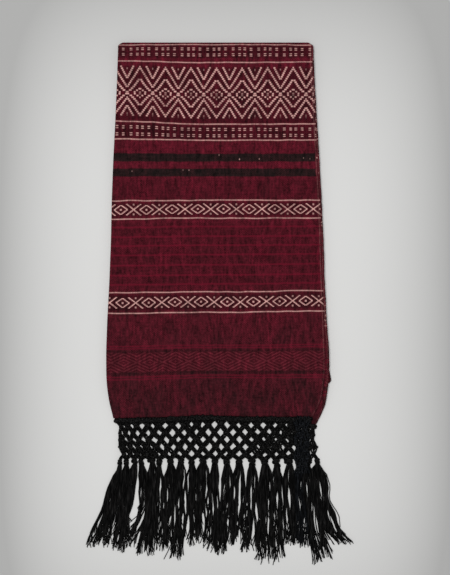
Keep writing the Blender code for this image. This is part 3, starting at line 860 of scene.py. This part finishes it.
def woven_sheet(name, columns, rows, place):
    """A sheet's mesh, from a flat grid whose points go where place says.

    place gives the point, its place in the weave and how far it is from the selvage, all in mm.
    """
    bm = bmesh.new()
    bmesh.ops.create_grid(bm, x_segments=columns - 1, y_segments=rows - 1, size=0.5)
    weave, edge = (bm.loops.layers.uv.new(layer) for layer in (THREADS, EDGE))
    threads, inside = {}, {}
    for vert in bm.verts:
        column = round((vert.co.x + 0.5) * (columns - 1))
        row = round((vert.co.y + 0.5) * (rows - 1))
        point, threads[vert], inside[vert] = place(column, row)
        vert.co = Vector(point) * MM
    for face in bm.faces:
        for loop in face.loops:
            loop[weave].uv = Vector(threads[loop.vert]) * MM
            loop[edge].uv = Vector((inside[loop.vert], 0.0)) * MM
    # The columns run from right to left, so the grid's faces point down until they are turned over.
    bmesh.ops.reverse_faces(bm, faces=bm.faces)
    mesh = bpy.data.meshes.new(name)
    bm.to_mesh(mesh)
    bm.free()
    return mesh


def add_thickness(made, thickness):
    solid = made.modifiers.new("Cloth", "SOLIDIFY")
    solid.thickness = thickness * MM
    solid.offset = -1.0
    solid.use_even_offset = True


def hem_drop(x, second):
    """How much lower the cloth ends here than it would if its end were straight."""
    lower = float(np.interp(x, [hem.x for hem in HEMS], [hem.lower for hem in HEMS]))
    return lower + SECOND_DROP * smoothstep((x - DROP_FROM_X) / (DROP_FULL_X - DROP_FROM_X)) * second


def pulled(y):
    """The share of the hem's drop at a place up the cloth, which is 1 at its end."""
    return smoothstep((SLOPE_HIGH_Y - y) / (SLOPE_HIGH_Y - HEM_Y))


def edge_wobble(y, edge):
    """An uneven selvage: a little in or out, from -1 to 1."""
    return noise.noise(Vector((edge * 7.3, y / 6.0, 0.0))) + 0.6 * noise.noise(Vector((edge * 3.1, y / 38.0, 5.0)))


class SHAWL_OT_front_cloth(bpy.types.Operator):
    """Make the front half of the cloth, which turns round the lengthwise fold and over the top fold"""

    bl_idname = "shawl.front_cloth"
    bl_label = "Front cloth"

    def execute(self, context):
        settings = context.scene.shawl_cloth
        places = along_places()
        turn = PAIR / 2
        across = [("flat", t) for t in spaced(0.0, 1.0, GRID_STEP / 250.0)]
        across += [("turn", math.pi * step / ROUND_STEPS) for step in range(1, ROUND_STEPS + 1)]
        across += [("under", t) for t in spaced(0.0, 1.0, 0.34)[1:]]
        wobble = settings.wobble / MM

        def place(column, row):
            run = run_at(places[row])
            fold = section_at(run.section_y, "fold") + run.corner
            selvage = section_at(run.section_y, "selvage") - run.corner
            selvage += wobble * edge_wobble(places[row], 1.0) - wobble
            kind, t = across[column]
            if kind == "flat":
                x, depth = selvage + (fold + turn - selvage) * t, 0.0
                thread = x
            elif kind == "turn":
                x, depth = fold + turn - turn * math.sin(t), turn - turn * math.cos(t)
                thread = fold + turn - turn * t
            else:
                x, depth = fold + turn + (TURN_IN - turn) * t, PAIR
                thread = fold + turn - turn * math.pi - (TURN_IN - turn) * t
            pressed = creased(x, run.section_y) if run.corner == 0.0 and run.inward_z < 0.0 else 0.0
            depth += pressed - ripple(x, run.section_y)
            lower = hem_drop(x, False) * pulled(places[row])
            point = (x, run.y + run.inward_y * depth - lower, run.z + run.inward_z * depth)
            return point, (thread, places[row] - weft_rise(thread, places[row])), selvage - thread

        mesh = woven_sheet("front_cloth", len(across), len(places), place)
        material = cloth_material("rebozo_front", settings, shared_groups())
        made = make_object("front_cloth", mesh, material, "cloth", "front_layer")
        add_thickness(made, CLOTH)
        return {"FINISHED"}


class SHAWL_OT_second_cloth(bpy.types.Operator):
    """Make the other half of the cloth, which lies under the front and ends a little further out"""

    bl_idname = "shawl.second_cloth"
    bl_label = "Second cloth"

    def execute(self, context):
        settings = context.scene.shawl_cloth
        places = along_places()
        across = spaced(0.0, 1.0, 2 * GRID_STEP / 250.0)
        wobble = settings.wobble / MM

        def place(column, row):
            run = run_at(places[row])
            near = section_at(run.section_y, "fold") + run.corner + TURN_IN + TURN_SEAM
            selvage = section_at(run.section_y, "second") - run.corner
            selvage += wobble * edge_wobble(places[row], 2.0) - wobble
            x = selvage + (near - selvage) * across[column]
            pressed = creased(x, run.section_y) if run.corner == 0.0 and run.inward_z < 0.0 else 0.0
            depth = CLOTH + GAP + pressed - ripple(x, run.section_y)
            lower = hem_drop(x, True) * pulled(places[row])
            point = (x, run.y + run.inward_y * depth - lower, run.z + run.inward_z * depth)
            return point, (x, places[row] - weft_rise(x, places[row])), selvage - x

        mesh = woven_sheet("second_cloth", len(across), len(places), place)
        material = cloth_material("rebozo_second", settings, shared_groups(), drop=18.0, wrong_side=0.45)
        made = make_object("second_cloth", mesh, material, "cloth", "second_layer")
        add_thickness(made, CLOTH)
        return {"FINISHED"}


class SHAWL_OT_inner_cloth(bpy.types.Operator):
    """Make the lengths folded away below, as three folded pairs that show at the edges"""

    bl_idname = "shawl.inner_cloth"
    bl_label = "Inner cloth"

    def execute(self, context):
        settings = context.scene.shawl_cloth
        low_y, high_y = INNER_END_Y, FOLD_AXIS_Y - 1.0
        places = [INNER_END_Y + INNER_CLOSING * (t / 6) ** 2 for t in range(7)]
        places += spaced(INNER_END_Y + INNER_CLOSING, high_y, INNER_STEP)[1:]
        material = cloth_material("rebozo_inner", settings, shared_groups(), drop=-400.0, wrong_side=0.3)
        wobble = settings.wobble / MM
        made = []
        for index in range(INNER_PAIRS):
            across = [("over", t) for t in spaced(0.0, 1.0, INNER_STEP / 250.0)]
            across += [("turn", math.pi * step / ROUND_STEPS) for step in range(1, ROUND_STEPS)]
            across += [("back", t) for t in spaced(1.0, 0.0, INNER_STEP / 250.0)]

            def place(column, row):
                y = places[row]
                closing = smoothstep((INNER_END_Y + INNER_CLOSING - y) / INNER_CLOSING)
                under = FOLD_AXIS_Y - UNDER_REACH - GAP
                low = (PAIR + GAP) * smoothstep((y - under + 4.0) / 4.0)
                high = upper_side(y) - PAIR - GAP - 0.55 * closing
                tall = (high - low) / INNER_PAIRS
                floor, half = low + tall * index, tall / 2
                left = section_at(y, "fold") + INNER_CORNER * closing**2 + INNER_LEFT_STEPS[index]
                right = section_at(y, "inner") - INNER_CORNER * closing**2
                right = right - INNER_RIGHT_STEPS[index] + wobble * (edge_wobble(y, 3.0 + index) - 1.0)
                end = math.sqrt(max(0.0, 1.0 - ((INNER_END_Y + 1.6 - y) / 1.6) ** 2)) if y < INNER_END_Y + 1.6 else 1.0
                half_here = max(half * end, 0.02)
                kind, t = across[column]
                if kind == "turn":
                    x = left + half - half * math.sin(t)
                    z = floor + half + half_here * math.cos(t)
                    thread = left - half * t
                else:
                    x = right + (left + half - right) * t
                    side = 1.0 if kind == "over" else -1.0
                    z = floor + half + side * half_here
                    thread = x if kind == "over" else 2 * left - x
                pressed = creased(x, y) * (z / STACK_HIGH)
                return (x, y, max(z - pressed, 0.0)), (thread, y + 30.0 * index), right - x

            mesh = woven_sheet(f"inner_cloth_{index + 1}", len(across), len(places), place)
            piece = make_object(f"inner_cloth_{index + 1}", mesh, material, "cloth", "inner_layers")
            add_thickness(piece, INNER_CLOTH)
            made.append(piece)
        for index, piece in enumerate(made):
            (high_y - low_y) * MM
        return {"FINISHED"}


def net_place(column, row, second):
    """Middle of a knot. Columns are evenly spaced but for those that turn under at the fold."""
    rows = [entry.row for entry in NET_SPACING]
    pitch, after, tight = (
        float(np.interp(row, rows, [getattr(entry, field) for entry in NET_SPACING]))
        for field in ("pitch", "tight_after", "tightening")
    )
    left = max(0.0, CENTRE_COLUMN - column - after)
    x = CENTRE_X + pitch * (column - CENTRE_COLUMN) + tight * left**2
    for slip in SECOND_SLIPS if second else FRONT_SLIPS:
        aside = (column - slip.column) / slip.columns
        below = (row - slip.row) / slip.rows
        x += slip.by * math.exp(-(aside**2) - below**2)
    if second:
        share = float(np.interp(row, [entry.row for entry in CLOSING], [entry.share for entry in CLOSING]))
        x = min(x, CLOSE_FROM_X + (x - CLOSE_FROM_X) * share)
    if row >= LEFT_EDGE_ROW:
        x = max(x, LEFT_EDGE_X)
    return x, float(np.interp(row, range(len(NET_ROWS_Y)), NET_ROWS_Y))


def knot_places(columns, second):
    """Knots by (row, twice the column): whole columns on even rows, half columns on odd ones."""
    found = {}
    for row in range(len(NET_ROWS_Y)):
        first = 1 if row < LATE_COLUMN_ROWS else 0
        for twice in range(2 * first, 2 * columns + 1):
            if twice % 2 == row % 2:
                found[row, twice] = net_place(twice / 2, row, second)
    return found


def room_at(row, twice, second):
    """1 for a knot with room round it, and less where the columns close up."""
    pitch = net_place(twice / 2 + 0.5, row, second)[0] - net_place(twice / 2 - 0.5, row, second)[0]
    return max(0.1, min(1.0, pitch / ROOMY_PITCH))


def new_yarns(name, radius, sides_step):
    """An empty curve whose splines become round yarns."""
    curve = bpy.data.curves.new(name, "CURVE")
    curve.dimensions = "3D"
    curve.bevel_depth = radius * MM
    curve.bevel_resolution = sides_step
    curve.use_fill_caps = True
    curve.resolution_u = 1
    return curve


def add_yarn(curve, points, radii, closed=False):
    """One yarn through points in mm, each with its share of the curve's radius, kept clear of the floor."""
    spline = curve.splines.new("POLY")
    spline.points.add(len(points) - 1)
    for slot, point, radius in zip(spline.points, points, radii, strict=True):
        low = curve.bevel_depth * radius
        slot.co = (point[0] * MM, point[1] * MM, max(point[2] * MM, low), 1.0)
        slot.radius = radius
    spline.use_cyclic_u = closed


def mesh_of(curve):
    """The curve's tubes as a mesh."""
    holder = bpy.data.objects.new(curve.name, curve)
    bpy.context.scene.collection.objects.link(holder)
    bpy.context.view_layer.update()
    graph = bpy.context.evaluated_depsgraph_get()
    mesh = bpy.data.meshes.new_from_object(holder.evaluated_get(graph))
    bpy.data.objects.remove(holder, do_unlink=True)
    bpy.data.curves.remove(curve)
    return mesh


def add_knot(curve, at, size, turn, thick, tall=1.0, high=2.0):
    """An overhand knot, pulled tight, of a yarn some times as thick as the curve's."""
    points = []
    for step in range(KNOT_STEPS):
        t = math.tau * step / KNOT_STEPS
        x = (math.sin(t) + 2.0 * math.sin(2.0 * t)) / 3.0
        y = (math.cos(t) - 2.0 * math.cos(2.0 * t)) / 3.0
        px = x * math.cos(turn) - y * math.sin(turn)
        py = x * math.sin(turn) + y * math.cos(turn)
        points.append((at[0] + size * px, at[1] + size * tall * py, at[2] - math.sin(3.0 * t) * high * 0.5))
    add_yarn(curve, points, [thick] * len(points), closed=True)


def add_cord(curve, above, below, cord, room, spare):
    """Two yarns from one knot to the next, which part a little on the way, and less where there is no room."""
    dx, dy = below[0] - above[0], below[1] - above[1]
    long = math.hypot(dx, dy)
    bow = spare.uniform(-0.6, 0.6) * room
    thick = 0.62 + 0.38 * room
    for ply in (-1, 1):
        apart = ply * spare.uniform(0.85, 1.35) * cord * thick
        points = []
        for step in range(CORD_STEPS):
            t = step / (CORD_STEPS - 1)
            belly = math.sin(math.pi * t)
            across = apart * (0.6 + 0.4 * belly) + bow * belly
            pz = above[2] + (below[2] - above[2]) * t + ply * 0.35 * math.sin(math.tau * t)
            points.append((above[0] + dx * t - dy / long * across, above[1] + dy * t + dx / long * across, pz))
        add_yarn(curve, points, [thick] * CORD_STEPS)


def make_net(name, node, columns, z, second, settings, material, seed):
    """The knotted net: two yarns to a cord, and a tight knot where the cords meet."""
    spare = np.random.default_rng(seed)
    places = knot_places(columns, second)
    cord, knot = settings.cord / MM, settings.knot / MM
    curve = new_yarns(name, cord, 1)
    at = {}
    for key, (x, y) in places.items():
        row, twice = key
        loose = NET_LOOSE * room_at(row, twice, second) * (row > 0)
        shift = spare.uniform(-loose, loose, 3)
        lower = hem_drop(x, second) * max(0.0, 1.0 - row / 3.0)
        at[key] = (x + shift[0], y + shift[1] - lower, z + 0.3 * shift[2])
    for (row, twice), point in at.items():
        room = room_at(row, twice, second)
        size = knot * (0.5 + 0.5 * room) * spare.uniform(0.76, 1.12)
        if row == 0:
            continue
        low = row == LAST_ROW
        tall = 1.15 if low else 1.0
        centre = (point[0], point[1] - (2.2 if low else 0.0), point[2])
        thick = 1.15 * (0.62 + 0.38 * room)
        add_knot(curve, centre, size * 0.72, spare.uniform(0.0, math.tau), thick, tall, 1.3)
        for side in (-1, 1):
            above = at.get((row - 1, twice + side))
            if above:
                add_cord(curve, above, point, cord, room, spare)
    # The heading: knots side by side, with loops that bite a little into the cloth's end.
    first = min(twice for row, twice in at if row == 0)
    last = max(twice for row, twice in at if row == 0)
    carrier = []
    for twice in range(2 * first, 2 * last + 1):
        x, y = net_place(twice / 4, 0, second)
        y -= hem_drop(x, second)
        size = knot * (0.5 + 0.5 * room_at(0, twice / 2, second)) * spare.uniform(0.8, 1.05)
        up = HEADING_BITE * spare.uniform(0.0, 1.0) ** 2
        add_knot(curve, (x, y - 0.4 + up, z + 0.3), size * 0.76, spare.uniform(0.0, math.tau), 1.3, 0.85, 1.2)
        aside = spare.uniform(-1.0, 1.0) * size * 0.6
        points = [(x + aside, y + 2.3 + up, z + 0.7), (x + aside * 0.8, y + 1.2, z + 0.9), (x, y - 2.2, z)]
        add_yarn(curve, points, [0.8, 1.2, 1.1])
        carrier.append((x, y + 1.0, z - 0.3))
    add_yarn(curve, carrier, [1.3] * len(carrier))
    return make_object(name, mesh_of(curve), material, "fringe", node)


def make_bunch(settings, material):
    """The cords that are gathered over each other at the right of the front net."""
    spare = np.random.default_rng(31)
    cord, knot = settings.cord / MM, settings.knot / MM
    curve = new_yarns("net_bunch", cord, 1)
    low_y = HEAD_TOP_Y - 13.0
    for number in range(BUNCH_CORDS):
        share = (number + 0.5) / BUNCH_CORDS
        wave, length, phase = spare.uniform(0.8, 2.4), spare.uniform(20.0, 36.0), spare.uniform(0.0, math.tau)
        top = HEM_Y - 1.5 + spare.uniform(-0.5, 2.5)
        points = []
        for y in np.linspace(top, low_y, 2 * CORD_STEPS):
            x = BUNCH_LEFT + (BUNCH_RIGHT - BUNCH_LEFT) * share + wave * math.sin(math.tau * y / length + phase)
            points.append((x, y, FRONT_NET_Z + 1.2 + 0.9 * math.sin(math.tau * y / 17.0 + 2.0 * phase)))
        add_yarn(curve, points, [1.0] * len(points))
    for _ in range(BUNCH_KNOTS):
        x, y = spare.uniform(BUNCH_LEFT, BUNCH_RIGHT), spare.uniform(low_y + 6.0, HEM_Y - 3.0)
        add_knot(curve, (x, y, FRONT_NET_Z + 2.2), knot * 0.6, spare.uniform(0.0, math.tau), 1.0, 1.0, 1.0)
    return make_object("net_bunch", mesh_of(curve), material, "fringe", "net_front")


class SHAWL_OT_nets(bpy.types.Operator):
    """Make the knotted net of the front half and of the half under it"""

    bl_idname = "shawl.nets"
    bl_label = "Knotted nets"

    def execute(self, context):
        settings = context.scene.shawl_fringe
        groups = shared_groups()
        material = yarn_material("black_cord", settings.colour, groups, 4.0, CORD_GLOSS)
        make_net("front_net", "net_front", FRONT_COLUMNS, FRONT_NET_Z, False, settings, material, 11)
        make_net("second_net", "net_second", SECOND_COLUMNS, SECOND_NET_Z, True, settings, material, 12)
        make_bunch(settings, yarn_material("blue_black_cord", settings.blue, groups, 4.0, CORD_GLOSS))
        return {"FINISHED"}


def centre_line(tassel, y):
    """Middle of a tassel at a height down the fringe."""
    start = net_place(tassel.column, LAST_ROW, tassel.column > FRONT_COLUMNS)[0]
    down = (HEAD_LOW_Y - y) / LONGEST
    whole = tassel.length / LONGEST
    share = min(max(down, 0.0) / whole, 1.0)
    return start + (tassel.tip_x - start) * share**tassel.bow + tassel.swing * math.sin(math.pi * share)


def add_curl(curve, tassel, side, spare):
    """A loose end that curls up beside its tassel."""
    down = spare.uniform(0.35, 0.8) * tassel.length
    y = HEAD_LOW_Y - down
    x = centre_line(tassel, y) + side * TASSEL_HALF * 0.75
    radius, turns = spare.uniform(1.3, 2.2), spare.uniform(1.4, 2.3)
    points = []
    for step in range(2 * KNOT_STEPS):
        t = step / (2 * KNOT_STEPS - 1)
        angle = math.tau * turns * t
        px = x + side * (2.0 * t + radius * math.sin(angle))
        points.append((px, y + radius * math.cos(angle) - 3.0 * t, 1.4 + 0.8 * math.cos(angle)))
    add_yarn(curve, points, [0.9] * len(points))


def make_tassel(index, settings, material):
    """A tight knot and its yarns, in a few strands that lie a little apart and fan out over the floor."""
    tassel = TASSELS[index]
    spare = np.random.default_rng(70 + index)
    second = tassel.column > FRONT_COLUMNS
    x = net_place(tassel.column, LAST_ROW, second)[0]
    room = max(0.62, room_at(LAST_ROW, 2 * tassel.column, second))
    name = f"fringe_tassel_{index + 1:02d}"
    curve = new_yarns(name, settings.yarn / MM, 0)
    head_y = (HEAD_TOP_Y + HEAD_LOW_Y) / 2
    thick = settings.cord / settings.yarn
    raised = spare.uniform(-HEAD_UNEVEN, HEAD_UNEVEN)
    at = (x, head_y + 1.8 + raised, 2.6)
    add_knot(curve, at, 3.1 * room, math.pi * spare.integers(0, 2), thick * 1.3, 1.15, 1.6)
    full = TASSEL_HALF * tassel.wide * spare.uniform(0.80, 1.02)
    opening = spare.uniform(*HEAD_OPENING, 2) / tassel.wide
    pushed = spare.normal(0.0, 1.3)
    narrow = HEAD_WIDE / 2 * 0.85 * room
    for strand in range(STRANDS):
        to_side = 2.0 * (strand + 0.5) / STRANDS - 1.0 + spare.normal(0.0, 0.06)
        leaning = pushed + spare.normal(0.0, 3.8)
        long = tassel.length * (1.05 - spare.uniform(0.0, 1.0) ** 1.5 * 0.19)
        sway, sway_length = spare.uniform(0.5, 2.2), spare.uniform(40.0, 90.0)
        sway_phase = spare.uniform(0.0, math.tau)
        for _ in range(round(settings.yarns * tassel.wide / STRANDS)):
            aside = to_side + spare.normal(0.0, 0.10)
            layer = spare.uniform(0.0, 1.0)
            stray = spare.uniform() < STRAY_SHARE
            reach = long * (spare.uniform(0.62, 1.0) if stray else spare.uniform(0.92, 1.02))
            wave, length, phase = spare.uniform(0.15, 0.6), spare.uniform(18.0, 40.0), spare.uniform(0.0, math.tau)
            drift = spare.uniform(-STRAY_REACH, STRAY_REACH) if stray else spare.normal(0.0, 1.1)
            curl = spare.normal(0.0, 1.1)
            points, radii = [], []
            for step in range(YARN_STEPS + 1):
                along = step / YARN_STEPS
                y = HEAD_LOW_Y + raised + 3.5 - (reach + raised + 3.5) * along
                down = max(0.0, (HEAD_LOW_Y + raised - y) / LONGEST)
                spread = smoothstep(down / opening[int(aside > 0.0)] + 0.1) * (0.88 + 0.12 * smoothstep(down * 2.0))
                half = narrow + (full - narrow) * spread
                px = centre_line(tassel, y) + aside * half + leaning * down + drift * smoothstep((down - 0.25) / 0.7)
                px += sway * smoothstep(down * 3.0) * math.sin(math.tau * y / sway_length + sway_phase)
                px += wave * smoothstep(down * 5.0) * math.sin(math.tau * y / length + phase)
                px += curl * 2.2 * max(0.0, along - 0.85) / 0.15
                tall = 3.8 - 2.2 * smoothstep(down / 0.5)
                pz = 0.5 + layer * tall * (1.0 - 0.4 * min(1.0, aside * aside))
                points.append((px, y, pz))
                radii.append(1.15 - 0.25 * along**2)
            add_yarn(curve, points, radii)
    for side in (-1, 1):
        if spare.uniform() < CURL_SHARE:
            add_curl(curve, tassel, side, spare)
    return make_object(name, mesh_of(curve), material, "fringe", f"tassel_{index + 1:02d}")


class SHAWL_OT_tassels(bpy.types.Operator):
    """Make the tassels, each with its own yarns"""

    bl_idname = "shawl.tassels"
    bl_label = "Tassels"

    def execute(self, context):
        settings = context.scene.shawl_fringe
        material = yarn_material("black_yarn", settings.colour, shared_groups(), 40.0, YARN_GLOSS, 0.12)
        blue = yarn_material("blue_black_yarn", settings.blue, shared_groups(), 40.0, YARN_GLOSS, 0.12)
        for index, tassel in enumerate(TASSELS):
            bunched = BUNCH_LEFT < tassel.tip_x < BUNCH_RIGHT
            make_tassel(index, settings, blue if bunched else material)
        return {"FINISHED"}


def add_area_light(name, at, towards, size, power):
    light = bpy.data.lights.new(name, "AREA")
    light.shape = "DISK"
    light.size = size
    light.energy = power
    lamp = bpy.data.objects.new(name, light)
    lamp.location = at
    lamp.rotation_euler = (Vector(towards) - Vector(at)).to_track_quat("-Z", "Y").to_euler()
    bpy.context.scene.collection.objects.link(lamp)


class SHAWL_OT_stage(bpy.types.Operator):
    """Make the floor, the lights and the camera"""

    bl_idname = "shawl.stage"
    bl_label = "Floor, lights and camera"

    def execute(self, context):
        settings = context.scene.shawl_stage
        middle = Vector((VIEW_X, VIEW_Y, 0.0)) * MM
        bm = bmesh.new()
        bmesh.ops.create_circle(bm, cap_ends=True, segments=96, radius=4.0)
        mesh = bpy.data.meshes.new("floor")
        bm.to_mesh(mesh)
        bm.free()
        floor = bpy.data.objects.new("floor", mesh)
        context.scene.collection.objects.link(floor)
        material, tree, shader = new_material("pale_floor", 0.9, 0.2, 0.0)
        place = tree.nodes.new("ShaderNodeTexCoord").outputs["Object"]
        split = add_node(tree, "ShaderNodeSeparateXYZ", None, Vector=place)
        # painted shade: the floor's colour is darkened towards the edges of the view, as if the light fell off there
        right = abs(Signal(tree, split.outputs[0]) - middle.x) / PAINTED_SHADE_X
        up = Signal(tree, split.outputs[1]) - middle.y
        side = (1.0 - right.power(4.5) * PAINTED_SHADE_SIDE).held()
        above = (1.0 - (up / PAINTED_SHADE_Y).power(3.0) * PAINTED_SHADE_ABOVE).held()
        below = (1.0 - (up * (-1.0 / PAINTED_SHADE_Y)).power(5.0) * PAINTED_SHADE_BELOW).held()
        fade = (side * above * below).most(PAINTED_SHADE_LIMIT)
        join(tree, shaded(tree, settings.floor, fade), shader.inputs["Base Color"])
        mesh.materials.append(material)

        world = bpy.data.worlds.new("soft_light")
        world.use_nodes = True
        world.node_tree.nodes["Background"].inputs["Color"].default_value = (1.0, 1.0, 1.0, 1.0)
        world.node_tree.nodes["Background"].inputs["Strength"].default_value = settings.sky
        context.scene.world = world
        add_area_light("key", middle + Vector((-0.25, 0.20, 2.6)), middle, 1.0, settings.key)

        camera = bpy.data.cameras.new("camera")
        camera.sensor_fit = "HORIZONTAL"
        camera.sensor_width = SENSOR
        camera.lens = SENSOR * (settings.height - STACK_HIGH * MM) / (VIEW_WIDE * MM)
        camera.clip_end = 20.0
        eye = bpy.data.objects.new("camera", camera)
        eye.location = middle + Vector((0.0, 0.0, settings.height))
        context.scene.collection.objects.link(eye)
        context.scene.camera = eye
        context.scene.view_settings.view_transform = "Standard"
        return {"FINISHED"}


class SHAWL_PT_panel(bpy.types.Panel):
    """The shawl's pieces, with their sizes and colours"""

    bl_idname = "SHAWL_PT_panel"
    bl_label = "Rebozo shawl"
    bl_space_type = "VIEW_3D"
    bl_region_type = "UI"
    bl_category = "Rebozo"

    def draw(self, context):
        layout = self.layout
        for settings in (context.scene.shawl_cloth, context.scene.shawl_fringe, context.scene.shawl_stage):
            box = layout.box()
            for name in settings.__annotations__:
                box.prop(settings, name)
        for operator in OPERATORS:
            layout.operator(operator.bl_idname)


SETTINGS = {"shawl_cloth": ClothSettings, "shawl_fringe": FringeSettings, "shawl_stage": StageSettings}
OPERATORS = (
    SHAWL_OT_inner_cloth,
    SHAWL_OT_second_cloth,
    SHAWL_OT_front_cloth,
    SHAWL_OT_nets,
    SHAWL_OT_tassels,
    SHAWL_OT_stage,
)


def register():
    for group in (*SETTINGS.values(), *OPERATORS, SHAWL_PT_panel):
        bpy.utils.register_class(group)
    for name, group in SETTINGS.items():
        setattr(bpy.types.Scene, name, bpy.props.PointerProperty(type=group))


def unregister():
    for name in SETTINGS:
        delattr(bpy.types.Scene, name)
    for group in reversed((*SETTINGS.values(), *OPERATORS, SHAWL_PT_panel)):
        bpy.utils.unregister_class(group)


def main():
    register()
    bpy.ops.shawl.inner_cloth()
    bpy.ops.shawl.second_cloth()
    bpy.ops.shawl.front_cloth()
    bpy.ops.shawl.nets()
    bpy.ops.shawl.tassels()
    bpy.ops.shawl.stage()


if __name__ == "__main__":
    main()
